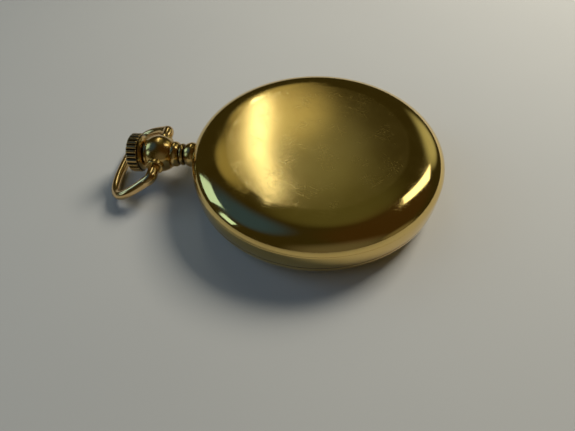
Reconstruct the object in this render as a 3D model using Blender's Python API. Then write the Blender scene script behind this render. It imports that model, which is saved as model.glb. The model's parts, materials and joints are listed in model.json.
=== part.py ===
"""Open-face pocket watch lying dial down, with its case, winding works, going train and motion work.

Frame: origin at the centre of the crystal's flat face, +Z up through the case to the back cover,
+Y along the pendant to the crown (12 o'clock on the dial, which faces -Z). Metres.
"""

import math

import bmesh
import bpy
from mathutils import Matrix, Vector

MM = 0.001
TAU = 2 * math.pi

# ---------------------------------------------------------------- driving sizes
GAP = 0.05 * MM                 # clearance between pieces that rest on or fit in each other

CASE_RADIUS = 25.0 * MM
CASE_HEIGHT = 12.0 * MM
BACK_CROWN = 0.7 * MM           # rise of the nearly flat middle of the back
BACK_FLAT_RADIUS = 18.2 * MM
CASE_WALL = 0.6 * MM
BAND_BOTTOM = 4.2 * MM          # the centre ring shows between these two heights
BAND_TOP = 7.6 * MM
BAND_INNER_RADIUS = 21.1 * MM
LEDGE_RADIUS = 20.5 * MM
LIP_INSET = 1.7 * MM
LIP_RADIUS = CASE_RADIUS - LIP_INSET  # spigot that the back and the bezel snap over
LIP_HEIGHT = 1.0 * MM

CRYSTAL_RADIUS = 20.2 * MM
BEZEL_MOUTH_RADIUS = CRYSTAL_RADIUS + GAP
CRYSTAL_FLAT_RADIUS = 15.0 * MM
CRYSTAL_THICKNESS = 0.9 * MM
CRYSTAL_EDGE_DROP = 1.0 * MM    # how far the crystal's edge lies above its flat face

STEM_HEIGHT = 5.9 * MM          # height of the pendant, stem and crown axis
CASE_STEM_RADIUS = 0.9 * MM
CASE_STEM_START = 19.4 * MM
PENDANT_NECK_LENGTH = 7.8 * MM  # from the band to the middle of the ball
PENDANT_BALL_Y = CASE_RADIUS + PENDANT_NECK_LENGTH
PENDANT_BALL_RADIUS = 3.8 * MM
PENDANT_BORE_RADIUS = 1.55 * MM
PENDANT_SPIGOT_RADIUS = 1.45 * MM
STEM_BORE_RADIUS = CASE_STEM_RADIUS + 2 * GAP
SLEEVE_START = PENDANT_BALL_Y - PENDANT_BALL_RADIUS
BOSS_RADIUS = 1.75 * MM
BOSS_REACH = PENDANT_BALL_RADIUS + 0.5 * MM

BOW_WIRE_RADIUS = 0.95 * MM
BOW_PIVOT_HALF_WIDTH = 7.8 * MM
BOW_HALF_WIDTH = 9.4 * MM
BOW_LENGTH = 10.9 * MM
BOW_END_SWELL = 1.2             # how much thicker the wire is where it bends into the pendant
BOW_DROOP = math.asin((STEM_HEIGHT - BOW_WIRE_RADIUS - GAP) / BOW_LENGTH)  # the bow lies on the table

CROWN_RADIUS = 4.0 * MM
CROWN_FLUTES = 24
CROWN_FLUTE_DEPTH = 0.28 * MM
CROWN_STANDOFF = 3.0 * MM       # from the middle of the ball to the crown
CROWN_LENGTH = 3.0 * MM
CROWN_BASE_Y = PENDANT_BALL_Y + CROWN_STANDOFF
CROWN_END_Y = CROWN_BASE_Y + CROWN_LENGTH

DIAL_RADIUS = 20.2 * MM
DIAL_FACE_Z = 2.9 * MM
DIAL_THICKNESS = 0.5 * MM

PLATE_RADIUS = 21.0 * MM
PLATE_BOTTOM = 4.3 * MM
PLATE_TOP = 6.0 * MM
BRIDGE_BOTTOM = 8.8 * MM
BRIDGE_TOP = 9.6 * MM
COCK_BOTTOM = 9.55 * MM
COCK_TOP = 10.05 * MM
WINDING_LEVEL = BRIDGE_TOP + GAP
WINDING_THICKNESS = 0.35 * MM

WHEEL_THICKNESS = 0.25 * MM
PIVOT_RADIUS = 0.25 * MM
ARBOR_RADIUS = 0.36 * MM

# Teeth of the going train, motion work and winding train.
BARREL_TEETH, CENTRE_PINION_TEETH = 72, 12
CENTRE_TEETH, THIRD_PINION_TEETH = 64, 8
THIRD_TEETH, FOURTH_PINION_TEETH = 60, 8
FOURTH_TEETH, ESCAPE_PINION_TEETH = 60, 6
ESCAPE_TEETH = 15
CANNON_TEETH, MINUTE_TEETH = 10, 30
MINUTE_PINION_TEETH, HOUR_TEETH = 8, 32
SETTING_TEETH, SETTING_IDLER_TEETH = 36, 14
CROWN_WHEEL_TEETH, RATCHET_TEETH = 22, 32
TRANSFER_TEETH, WINDING_PINION_TEETH = 22, 13

# Modules: pitch diameter over tooth count.
BARREL_MODULE = 0.21 * MM
CENTRE_MODULE = 0.19 * MM
THIRD_MODULE = 0.17 * MM
FOURTH_MODULE = 0.15 * MM
MOTION_MODULE = 0.16 * MM
WINDING_MODULE = 0.35 * MM
TRANSFER_RADIUS = 3.4 * MM      # middle of the face teeth under the crown wheel
TRANSFER_TOOTH_LENGTH = 0.8 * MM
MESH_PLAY = 0.03 * MM           # added to each centre distance

SEGMENTS = 40                   # round case pieces
FINE_SEGMENTS = 16              # arbors, screws and jewels


# ---------------------------------------------------------------- layout of the movement
def polar(radius, degrees, centre=(0.0, 0.0)):
    angle = math.radians(degrees)
    return (centre[0] + radius * math.cos(angle), centre[1] + radius * math.sin(angle))


def centre_distance(module, teeth_a, teeth_b):
    return module * (teeth_a + teeth_b) / 2 + MESH_PLAY


def two_circle_point(a, radius_a, b, radius_b):
    """The point at these distances from a and b that lies to the right of the line from a to b."""
    along = Vector((b[0] - a[0], b[1] - a[1]))
    span = along.length
    along.normalize()
    step = (radius_a**2 - radius_b**2 + span**2) / (2 * span)
    side = math.sqrt(radius_a**2 - step**2)
    left = Vector((-along.y, along.x))
    found = Vector(a) + along * step + left * side
    return (found.x, found.y)


CENTRE = (0.0, 0.0)
BARREL = polar(centre_distance(BARREL_MODULE, BARREL_TEETH, CENTRE_PINION_TEETH), 135)
FOURTH = (0.0, -9.5 * MM)
THIRD = two_circle_point(
    CENTRE,
    centre_distance(CENTRE_MODULE, CENTRE_TEETH, THIRD_PINION_TEETH),
    FOURTH,
    centre_distance(THIRD_MODULE, THIRD_TEETH, FOURTH_PINION_TEETH),
)
ESCAPE = polar(centre_distance(FOURTH_MODULE, FOURTH_TEETH, ESCAPE_PINION_TEETH), 190, FOURTH)
ESCAPE_RADIUS = 3.4 * MM
PALLET = polar(4.3 * MM, 140, ESCAPE)
BALANCE = polar(9.0 * MM, 140, ESCAPE)
BALANCE_RADIUS = 6.9 * MM
CROWN_WHEEL_SPACING = centre_distance(WINDING_MODULE, CROWN_WHEEL_TEETH, RATCHET_TEETH)
CROWN_WHEEL = (0.0, BARREL[1] + math.sqrt(CROWN_WHEEL_SPACING**2 - BARREL[0] ** 2))
MINUTE = polar(centre_distance(MOTION_MODULE, CANNON_TEETH, MINUTE_TEETH), 62)
SETTING_IDLER = polar(centre_distance(MOTION_MODULE, MINUTE_TEETH, SETTING_IDLER_TEETH), 94, MINUTE)
SETTING = polar(centre_distance(MOTION_MODULE, SETTING_IDLER_TEETH, SETTING_TEETH), 98, SETTING_IDLER)
CLUTCH_Y = CROWN_WHEEL[1] + TRANSFER_RADIUS - TRANSFER_TOOTH_LENGTH / 2 - 1.0 * MM
SETTING_PIVOT = (7.2 * MM, CLUTCH_Y + 1.7 * MM)
CLUTCH_PIVOT = (-8.3 * MM, CLUTCH_Y - 1.6 * MM)
RATCHET_TIP_RADIUS = WINDING_MODULE * (RATCHET_TEETH / 2 + 0.95)
CLICK_PIVOT = polar(RATCHET_TIP_RADIUS + 1.15 * MM, 100, BARREL)
CLICK_STUD_RADIUS = 0.25 * MM
DIAL_FEET = (polar(18.5 * MM, 50), polar(18.5 * MM, 200), polar(18.5 * MM, 310))

BARREL_FEET = ((-12.2 * MM, 14.2 * MM), (9.0 * MM, 15.0 * MM))
TRAIN_FEET = ((14.5 * MM, -3.0 * MM), (-1.0 * MM, -17.6 * MM))
PALLET_FOOT = (-9.8 * MM, -13.4 * MM)
BALANCE_FOOT = polar(18.3 * MM, 165)
FOOT_RADIUS = 1.7 * MM
CASE_SCREWS = (polar(19.5 * MM, 20), polar(19.5 * MM, 242))


# ---------------------------------------------------------------- helpers
def clear_scene():
    for obj in list(bpy.data.objects):
        bpy.data.objects.remove(obj, do_unlink=True)


def material(name, colour, roughness, metallic):
    made = bpy.data.materials.new(name)
    made.use_nodes = True
    shader = made.node_tree.nodes["Principled BSDF"]
    shader.inputs["Base Color"].default_value = (*colour, 1.0)
    shader.inputs["Roughness"].default_value = roughness
    shader.inputs["Metallic"].default_value = metallic
    return made


def place(name, bm, surface, at=(0.0, 0.0, 0.0), along_y=False, smooth=True):
    """A new object from bm. With along_y its local +Z points along world +Y."""
    bmesh.ops.recalc_face_normals(bm, faces=bm.faces)
    mesh = bpy.data.meshes.new(name)
    bm.to_mesh(mesh)
    bm.free()
    if smooth:
        mesh.shade_smooth()
        mesh.set_sharp_from_angle(angle=math.radians(32))
    mesh.materials.append(surface)
    obj = bpy.data.objects.new(name, mesh)
    obj.location = at
    if along_y:
        obj.rotation_euler = (-math.pi / 2, 0.0, 0.0)
    bpy.context.scene.collection.objects.link(obj)
    return obj


def turned(profile, segments=SEGMENTS):
    """A closed (radius, height) outline spun about Z."""
    bm = bmesh.new()
    verts = [bm.verts.new((radius, 0.0, height)) for radius, height in profile]
    edges = [bm.edges.new((a, b)) for a, b in zip(verts, verts[1:] + verts[:1])]
    on_axis = [e for e in edges if all(v.co.x < 1e-9 for v in e.verts)]
    bmesh.ops.delete(bm, geom=on_axis, context="EDGES")
    bmesh.ops.spin(
        bm,
        geom=bm.verts[:] + bm.edges[:],
        cent=(0, 0, 0),
        axis=(0, 0, 1),
        angle=TAU,
        steps=segments,
        use_merge=True,
    )
    bmesh.ops.remove_doubles(bm, verts=bm.verts, dist=1e-7)
    flat_middles = [
        vert
        for vert in bm.verts
        if vert.co.xy.length < 1e-9
        and all(abs(e.other_vert(vert).co.z - vert.co.z) < 1e-9 for e in vert.link_edges)
    ]
    bmesh.ops.dissolve_verts(bm, verts=flat_middles)
    return bm


def ring_profile(inner, outer, low, high):
    return [(inner, low), (outer, low), (outer, high), (inner, high)]


def disc_profile(radius, low, high):
    return [(0.0, low), (radius, low), (radius, high), (0.0, high)]


def stacked(*steps):
    """Outline of a solid turned piece from (radius, low, high) steps, lowest first."""
    points = [(0.0, steps[0][1])]
    for radius, low, high in steps:
        points += [(radius, low), (radius, high)]
    return points + [(0.0, steps[-1][2])]


def circle(radius, count=FINE_SEGMENTS, centre=(0.0, 0.0), start=0.0):
    return [
        (
            centre[0] + radius * math.cos(start + TAU * i / count),
            centre[1] + radius * math.sin(start + TAU * i / count),
        )
        for i in range(count)
    ]


def plate(outlines, low, high):
    """A flat plate between two heights. The first outline is its edge and the others are its holes."""
    bm = bmesh.new()
    edges = []
    for outline in outlines:
        verts = [bm.verts.new((x, y, low)) for x, y in outline]
        edges += [bm.edges.new((a, b)) for a, b in zip(verts, verts[1:] + verts[:1])]
    filled = bmesh.ops.triangle_fill(bm, edges=edges, use_beauty=True)
    faces = [g for g in filled["geom"] if isinstance(g, bmesh.types.BMFace)]
    raised = bmesh.ops.extrude_face_region(bm, geom=faces, use_keep_orig=True)
    moved = [g for g in raised["geom"] if isinstance(g, bmesh.types.BMVert)]
    bmesh.ops.translate(bm, verts=moved, vec=(0.0, 0.0, high - low))
    return bm


def hull(circles, count=24):
    """The rounded outline that wraps these (centre, radius) circles."""
    points = sorted({p for centre, radius in circles for p in circle(radius, count, centre)})

    def half(ordered):
        chain = []
        for p in ordered:
            while len(chain) > 1:
                (ax, ay), (bx, by) = chain[-2], chain[-1]
                if (bx - ax) * (p[1] - ay) - (by - ay) * (p[0] - ax) > 1e-14:
                    break
                chain.pop()
            chain.append(p)
        return chain[:-1]

    return half(points) + half(points[::-1])


def boolean(obj, other, operation):
    """Cuts, or joins, other and keeps it as a hidden helper."""
    other.hide_render = True
    other.display_type = "WIRE"
    modifier = obj.modifiers.new(f"{operation} {other.name}", "BOOLEAN")
    modifier.operation = operation
    modifier.object = other
    modifier.solver = "EXACT"


def gear(teeth, module, phase=0.0, leaf=False):
    """Tooth outline. Wheels have pointed teeth of three points, pinions flat-topped leaves of four."""
    pitch_radius = module * teeth / 2
    root = pitch_radius - 1.25 * module
    tip = pitch_radius + (0.8 if leaf else 0.95) * module
    step = TAU / teeth
    half_root, half_tip = (0.26, 0.1) if leaf else (0.29, 0.0)
    points = []
    for tooth in range(teeth):
        middle = phase + tooth * step
        corners = [(root, -half_root), (tip, -half_tip), (tip, half_tip), (root, half_root)]
        if not leaf:
            corners.pop(2)
        for radius, share in corners:
            angle = middle + share * step
            points.append((radius * math.cos(angle), radius * math.sin(angle)))
    return points


def mesh_phase(from_centre, from_teeth, from_phase, to_centre, to_teeth):
    """Phase that puts a gap of the second gear on a tooth of the first, on their line of centres."""
    line = math.atan2(to_centre[1] - from_centre[1], to_centre[0] - from_centre[0])
    turned_by = (line - from_phase) * from_teeth / TAU
    return line + math.pi - TAU / to_teeth * (0.5 - turned_by)


def crossings(inner, outer, arms, spoke):
    """The windows between a wheel's arms, each a ring sector with straight-sided spokes of that width."""
    windows = []
    for arm in range(arms):
        start, end = TAU * arm / arms, TAU * (arm + 1) / arms
        window = []
        for radius, order in ((outer, 1), (inner, -1)):
            trim = spoke / 2 / radius
            low, high = start + trim, end - trim
            count = 4 if radius == outer else 1
            angles = [low + (high - low) * i / count for i in range(count + 1)][::order]
            window += [(radius * math.cos(a), radius * math.sin(a)) for a in angles]
        windows.append(window)
    return windows


def at_height(point, height=0.0):
    return (point[0], point[1], height)


# ---------------------------------------------------------------- materials
clear_scene()
gold = material("gold", (0.83, 0.60, 0.24), 0.12, 1.0)
rose_gold = material("rose_gold", (0.80, 0.52, 0.26), 0.15, 1.0)
nickel = material("nickel", (0.78, 0.77, 0.72), 0.3, 1.0)
brass = material("brass", (0.85, 0.66, 0.32), 0.28, 1.0)
steel = material("steel", (0.62, 0.62, 0.63), 0.22, 1.0)
blued_steel = material("blued_steel", (0.05, 0.10, 0.38), 0.25, 1.0)
ruby = material("ruby", (0.70, 0.04, 0.12), 0.08, 0.0)
enamel = material("enamel", (0.93, 0.92, 0.87), 0.15, 0.0)
glass = material("glass", (0.95, 0.97, 0.97), 0.02, 0.0)


# ---------------------------------------------------------------- case
def back_height(radius):
    """Outer height of the back cover: a shallow dome, then a rounded shoulder down to the band."""
    edge_height = CASE_HEIGHT - BACK_CROWN
    if radius <= BACK_FLAT_RADIUS:
        return CASE_HEIGHT - BACK_CROWN * (radius / BACK_FLAT_RADIUS) ** 2
    share = (radius - BACK_FLAT_RADIUS) / (CASE_RADIUS - BACK_FLAT_RADIUS)
    return BAND_TOP + (edge_height - BAND_TOP) * (1 - share**2.3) ** (1 / 1.9)


def back_outline():
    """Points down the outside of the back, from its middle to the band."""
    flat = [BACK_FLAT_RADIUS * s for s in (0.0, 0.55, 1.0)]
    shoulder = [
        CASE_RADIUS - (CASE_RADIUS - BACK_FLAT_RADIUS) * (1 - math.sin(math.pi / 2 * i / 7))
        for i in range(1, 8)
    ]
    return [(r, back_height(r) + GAP) for r in flat + shoulder]


def inward(points, depth):
    """The outline moved square to itself towards the inside of the case."""
    moved = []
    for i, (r, z) in enumerate(points):
        before, after = points[max(i - 1, 0)], points[min(i + 1, len(points) - 1)]
        along = Vector((after[0] - before[0], after[1] - before[1])).normalized()
        moved.append((max(r + along.y * depth, 0.0), z - along.x * depth))
    return moved


def make_back_cover():
    outside = back_outline()
    rim = LIP_RADIUS + GAP
    inside = [p for p in inward(outside, CASE_WALL)[::2] if p[0] < rim - GAP]
    inside[0] = (0.0, inside[0][1])
    seat = BAND_TOP + LIP_HEIGHT + 2 * GAP
    inside = [p for p in inside if p[1] > seat + GAP]
    profile = outside + [(rim, outside[-1][1]), (rim, seat), (inside[-1][0], seat)] + inside[::-1]
    return place("back_cover", turned(profile), gold)


def make_case_centre():
    band = [
        (CASE_RADIUS - 0.12 * MM, BAND_BOTTOM),
        (CASE_RADIUS, BAND_BOTTOM + 0.5 * MM),
        (CASE_RADIUS, BAND_TOP - 0.5 * MM),
        (CASE_RADIUS - 0.04 * MM, BAND_TOP),
    ]
    ledge_low, ledge_high = PLATE_TOP + GAP, PLATE_TOP + 0.6 * MM
    lip_inner = LIP_RADIUS - 1.2 * MM
    profile = [
        (lip_inner, BAND_BOTTOM - LIP_HEIGHT),
        (LIP_RADIUS, BAND_BOTTOM - LIP_HEIGHT),
        (LIP_RADIUS, BAND_BOTTOM),
        *band,
        (LIP_RADIUS, BAND_TOP),
        (LIP_RADIUS, BAND_TOP + LIP_HEIGHT),
        (lip_inner, BAND_TOP + LIP_HEIGHT),
        (BAND_INNER_RADIUS, ledge_high),
        (LEDGE_RADIUS, ledge_high),
        (LEDGE_RADIUS, ledge_low),
        (BAND_INNER_RADIUS, ledge_low),
        (BAND_INNER_RADIUS, BAND_BOTTOM),
    ]
    ring = place("case_centre", turned(profile), gold)
    bore_start = BAND_INNER_RADIUS - 1.6 * MM
    bore_length = CASE_RADIUS + 2.5 * MM - bore_start
    bore = turned(disc_profile(PENDANT_SPIGOT_RADIUS + GAP, 0.0, bore_length), FINE_SEGMENTS)
    cutter = place("cut_pendant_hole", bore, gold, (0.0, bore_start, STEM_HEIGHT), along_y=True)
    boolean(ring, cutter, "DIFFERENCE")
    return ring


def make_bezel():
    mouth = BEZEL_MOUTH_RADIUS
    low = 0.75 * MM
    outside = []
    for i in range(7):
        turn = math.pi / 2 * i / 6
        share = math.sin(turn)
        radius = CASE_RADIUS - 0.12 * MM - (CASE_RADIUS - mouth - 0.9 * MM) * (1 - math.cos(turn))
        outside.append((radius, BAND_BOTTOM - GAP - (BAND_BOTTOM - low) * share))
    rim = LIP_RADIUS + GAP
    seat = BAND_BOTTOM - LIP_HEIGHT - 2 * GAP
    profile = [
        (rim, BAND_BOTTOM - GAP),
        *outside,
        (mouth, low + 0.1 * MM),
        (mouth, low + 1.4 * MM),
        (mouth + 0.5 * MM, low + 1.4 * MM),
        (rim - 0.5 * MM, seat),
        (rim, seat),
    ]
    return place("bezel", turned(profile), gold)


def make_crystal():
    edge = CRYSTAL_EDGE_DROP
    outside = [(0.0, 0.0), (CRYSTAL_FLAT_RADIUS, 0.0)]
    span = CRYSTAL_RADIUS - CRYSTAL_FLAT_RADIUS
    for i in range(1, 4):
        share = i / 3
        outside.append((CRYSTAL_FLAT_RADIUS + span * share, edge * share**2))
    inside = [(r - 0.15 * MM * (r > 0), z + CRYSTAL_THICKNESS) for r, z in outside[:-1]]
    rim = (CRYSTAL_RADIUS, edge + CRYSTAL_THICKNESS)
    return place("crystal", turned(outside + [rim] + inside[::-1]), glass)


def make_pendant():
    """Turned tube with ringed neck, ball, and a drilled boss each side for the bow."""
    ball_y, ball = PENDANT_BALL_Y, PENDANT_BALL_RADIUS
    start = CASE_RADIUS + GAP
    top = CROWN_BASE_Y - 0.3 * MM

    def ball_point(y):
        return (math.sqrt(ball**2 - (y - ball_y) ** 2), y)

    sleeve_seat = SLEEVE_START - GAP
    outline = [
        (STEM_BORE_RADIUS, BAND_INNER_RADIUS + 0.3 * MM),
        (PENDANT_SPIGOT_RADIUS, BAND_INNER_RADIUS + 0.3 * MM),
        (PENDANT_SPIGOT_RADIUS, start),
        (2.35 * MM, start),
        (2.56 * MM, start + 0.6 * MM),
        (2.56 * MM, start + 1.3 * MM),
        (2.30 * MM, start + 2.0 * MM),
        (2.05 * MM, start + 2.3 * MM),
        (2.27 * MM, start + 2.6 * MM),
        (2.27 * MM, start + 3.0 * MM),
        (2.05 * MM, start + 3.3 * MM),
        (2.25 * MM, start + 3.7 * MM),
        (2.62 * MM, start + 4.2 * MM),
        (2.62 * MM, start + 5.3 * MM),
        *[ball_point(ball_y + t * MM) for t in (-2.1, -1.2, 0.0, 1.0, 1.9)],
        (2.95 * MM, top - 0.55 * MM),
        (2.95 * MM, top - 0.2 * MM),
        (2.55 * MM, top),
        (PENDANT_BORE_RADIUS, top),
        (PENDANT_BORE_RADIUS, sleeve_seat),
        (STEM_BORE_RADIUS, sleeve_seat),
    ]
    body = place("pendant", turned(outline, 18), gold, (0.0, 0.0, STEM_HEIGHT), along_y=True)
    for side, word in ((1, "right"), (-1, "left")):
        boss = turned(stacked((BOSS_RADIUS, 2.6 * MM, BOSS_REACH)), FINE_SEGMENTS)
        bore = turned(stacked((BOW_WIRE_RADIUS + GAP, 2.3 * MM, 6.0 * MM)), FINE_SEGMENTS)
        for bm, part, operation in ((boss, "boss", "UNION"), (bore, "bore", "DIFFERENCE")):
            helper = place(f"{operation.lower()}_{part}_{word}", bm, gold)
            helper.location = (0.0, ball_y, STEM_HEIGHT)
            helper.rotation_euler = (0.0, side * math.pi / 2, 0.0)
            boolean(body, helper, operation)
    return body


def bow_route():
    """Half of the bow's centre line as (sideways, outwards), from its end in the boss to its tip."""
    half, wide, long = BOW_PIVOT_HALF_WIDTH, BOW_HALF_WIDTH, BOW_LENGTH
    bend = 1.2 * MM
    points = [(2.6 * MM, 0.0), (4.3 * MM, 0.0), (4.5 * MM, 0.0), (half - bend, 0.0)]
    for i in range(1, 5):
        turn = math.pi / 2 * i / 4
        points.append((half - bend + bend * math.sin(turn), bend * (1 - math.cos(turn))))
    shoulder_x, shoulder_y = wide, 0.60 * long
    for share in (0.25, 0.5, 0.75):
        points.append(
            (
                half + (shoulder_x - half) * math.sin(share * math.pi / 2),
                bend + (shoulder_y - bend) * share,
            )
        )
    for i in range(0, 7):
        turn = math.pi / 2 * i / 6
        points.append(
            (
                shoulder_x * math.cos(turn) ** 0.8,
                shoulder_y + (long - shoulder_y) * math.sin(turn) ** 0.95,
            )
        )
    return points


def make_bow():
    half = bow_route()
    route = half + [(-x, y) for x, y in half[-2::-1]]
    curve = bpy.data.curves.new("bow", "CURVE")
    curve.dimensions = "3D"
    curve.bevel_depth = BOW_WIRE_RADIUS
    curve.bevel_resolution = 2
    curve.use_fill_caps = True
    spline = curve.splines.new("POLY")
    spline.points.add(len(route) - 1)
    for point, (x, y) in zip(spline.points, route):
        point.co = (x, y, 0.0, 1.0)
        point.radius = BOW_END_SWELL if abs(x) > BOSS_REACH + GAP and y < 1.5 * MM else 1.0
    curve.materials.append(rose_gold)
    obj = bpy.data.objects.new("bow", curve)
    obj.location = (0.0, PENDANT_BALL_Y, STEM_HEIGHT)
    obj.rotation_euler = (-BOW_DROOP, 0.0, 0.0)
    bpy.context.scene.collection.objects.link(obj)
    return obj


def make_crown():
    """Fluted winding button on its hollow boss."""
    length = CROWN_END_Y - CROWN_BASE_Y
    radius = CROWN_RADIUS
    shank = CASE_STEM_RADIUS + GAP
    depth = length - 0.8 * MM
    profile = [
        (0.0, depth),
        (shank, depth),
        (shank, 0.0),
        (2.75 * MM, 0.0),
        (3.2 * MM, 0.35 * MM),
        (radius - 0.25 * MM, 0.6 * MM),
        (radius, 0.9 * MM),
        (radius, length - 0.55 * MM),
        (radius - 0.45 * MM, length - 0.15 * MM),
        (1.8 * MM, length),
        (0.0, length),
    ]
    bm = turned(profile, 2 * CROWN_FLUTES)
    step = math.pi / CROWN_FLUTES
    for vert in bm.verts:
        reach = Vector(vert.co.xy).length
        odd = round(math.atan2(vert.co.y, vert.co.x) / step) % 2
        if odd and reach > radius - 0.3 * MM:
            vert.co.xy *= (reach - CROWN_FLUTE_DEPTH) / reach
    return place("crown", bm, rose_gold, (0.0, CROWN_BASE_Y, STEM_HEIGHT), along_y=True, smooth=False)


def make_stems():
    """Sleeve screwed in the pendant, and the case stem that turns and slides in it with the crown."""
    sleeve_high = CROWN_BASE_Y - 0.5 * MM
    sleeve = ring_profile(CASE_STEM_RADIUS + GAP, PENDANT_BORE_RADIUS - GAP, SLEEVE_START, sleeve_high)
    place("pendant_sleeve", turned(sleeve, FINE_SEGMENTS), steel, (0, 0, STEM_HEIGHT), along_y=True)
    socket = WINDING_ARBOR_RADIUS + GAP
    start = CASE_STEM_START
    profile = [
        (socket, start),
        (CASE_STEM_RADIUS, start),
        (CASE_STEM_RADIUS, CROWN_END_Y - 0.9 * MM),
        (0.0, CROWN_END_Y - 0.9 * MM),
        (0.0, start + 3.0 * MM),
        (socket, start + 3.0 * MM),
    ]
    place("case_stem", turned(profile, FINE_SEGMENTS), steel, (0, 0, STEM_HEIGHT), along_y=True)


WINDING_ARBOR_RADIUS = 0.5 * MM


# ---------------------------------------------------------------- movement plates
STEM_SLOT_HALF_WIDTH = 2.4 * MM
STUD_RADIUS = 0.3 * MM
DIAL_FOOT_RADIUS = 0.4 * MM
STEM_SLOT_START = 12.0 * MM


def holes_at(*spots):
    """Round holes in a plate, each (centre, radius)."""
    return [circle(radius, 10, centre) for centre, radius in spots]


def make_main_plate():
    edge_angle = math.asin(STEM_SLOT_HALF_WIDTH / PLATE_RADIUS)
    start = math.pi / 2 + edge_angle
    sweep = TAU - 2 * edge_angle
    outline = [polar(PLATE_RADIUS, math.degrees(start + sweep * i / 56)) for i in range(57)]
    outline += [(STEM_SLOT_HALF_WIDTH, STEM_SLOT_START), (-STEM_SLOT_HALF_WIDTH, STEM_SLOT_START)]
    bore = PIVOT_RADIUS + GAP
    holes = holes_at(
        (CENTRE, CENTRE_POST_RADIUS + GAP),
        (BARREL, 0.95 * MM),
        *[(foot, DIAL_FOOT_RADIUS + GAP) for foot in DIAL_FEET],
        (THIRD, bore),
        (FOURTH, bore),
        (ESCAPE, bore),
        (PALLET, bore),
        (BALANCE, bore),
        *[(foot, SCREW_SHANK_RADIUS + GAP) for foot in (*BARREL_FEET, *TRAIN_FEET)],
        (PALLET_FOOT, SCREW_SHANK_RADIUS + GAP),
        (BALANCE_FOOT, SCREW_SHANK_RADIUS + GAP),
        *[(spot, SCREW_SHANK_RADIUS + GAP) for spot in CASE_SCREWS],
    )
    main_plate = place("main_plate", plate([outline, *holes], PLATE_BOTTOM, PLATE_TOP), nickel)
    for number, spot in enumerate((MINUTE, SETTING_IDLER, SETTING, SETTING_PIVOT, CLUTCH_PIVOT)):
        stud = turned(disc_profile(STUD_RADIUS, HOUR_WHEEL_LEVEL, PLATE_BOTTOM + 0.5 * MM), 12)
        boolean(main_plate, place(f"join_stud_{number}", stud, nickel, at_height(spot)), "UNION")
    return main_plate


SCREW_SHANK_RADIUS = 0.5 * MM
SCREW_HEAD_RADIUS = 0.95 * MM
SCREW_HEAD_HEIGHT = 0.35 * MM
SCREW_SLOT = 0.22 * MM


def make_bridge(name, circles, holes, feet, low, high, foot_radius=FOOT_RADIUS):
    """A bridge or cock: a flat plate on round feet that stand on the main plate."""
    shank = SCREW_SHANK_RADIUS + GAP
    bridge = place(name, plate([hull(circles), *holes_at(*holes)], low, high), nickel)
    for number, foot in enumerate(feet):
        bm = turned(disc_profile(foot_radius, PLATE_TOP + GAP, low + 0.3 * MM), 24)
        helper = place(f"foot_{name}_{number}", bm, nickel, at_height(foot))
        boolean(bridge, helper, "UNION")
    for number, foot in enumerate(feet):
        bm = turned(disc_profile(shank, PLATE_TOP - 0.2 * MM, high + 0.2 * MM), 12)
        cutter = place(f"cut_{name}_{number}", bm, nickel, at_height(foot))
        boolean(bridge, cutter, "DIFFERENCE")
    return bridge


JEWEL_RADIUS = 0.75 * MM
TRAIN_JEWELS = {"third": THIRD, "fourth": FOURTH, "escape": ESCAPE}


def make_bridges():
    jewel_hole = JEWEL_RADIUS + GAP
    barrel_bridge = make_bridge(
        "barrel_bridge",
        [(BARREL, 3.0 * MM), (BARREL_FEET[0], 2.5 * MM), (BARREL_FEET[1], 2.5 * MM)],
        [(BARREL, BARREL_ARBOR_RADIUS + GAP), (CROWN_WHEEL, CROWN_HUB_RADIUS + GAP)],
        BARREL_FEET,
        BRIDGE_BOTTOM,
        BRIDGE_TOP,
    )
    stud = turned(disc_profile(CLICK_STUD_RADIUS, BRIDGE_TOP - 0.3 * MM, WINDING_LEVEL + 0.3 * MM), 10)
    boolean(barrel_bridge, place("join_click_stud", stud, nickel, at_height(CLICK_PIVOT)), "UNION")
    make_bridge(
        "train_bridge",
        [(CENTRE, 2.0 * MM), (ESCAPE, 1.3 * MM), (TRAIN_FEET[0], 2.5 * MM), (TRAIN_FEET[1], 2.4 * MM)],
        [(CENTRE, PIVOT_RADIUS + GAP), *[(spot, jewel_hole) for spot in TRAIN_JEWELS.values()]],
        TRAIN_FEET,
        BRIDGE_BOTTOM,
        BRIDGE_TOP,
    )
    make_bridge(
        "pallet_cock",
        [(PALLET, 0.9 * MM), (PALLET_FOOT, 1.4 * MM)],
        [(PALLET, PIVOT_RADIUS + GAP)],
        (PALLET_FOOT,),
        7.95 * MM,
        8.45 * MM,
        foot_radius=1.2 * MM,
    )
    make_bridge(
        "balance_cock",
        [(BALANCE, 1.6 * MM), (BALANCE_FOOT, 1.9 * MM)],
        [(BALANCE, jewel_hole)],
        (BALANCE_FOOT,),
        COCK_BOTTOM,
        COCK_TOP,
    )


def make_jewels():
    hole = PIVOT_RADIUS + GAP
    spots = [(f"{word}_jewel", spot, BRIDGE_BOTTOM, BRIDGE_TOP) for word, spot in TRAIN_JEWELS.items()]
    spots.append(("balance_jewel", BALANCE, COCK_BOTTOM, COCK_TOP))
    for name, spot, low, high in spots:
        profile = ring_profile(hole, JEWEL_RADIUS, low + 0.1 * MM, high)
        place(name, turned(profile, 16), ruby, at_height(spot))


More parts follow.
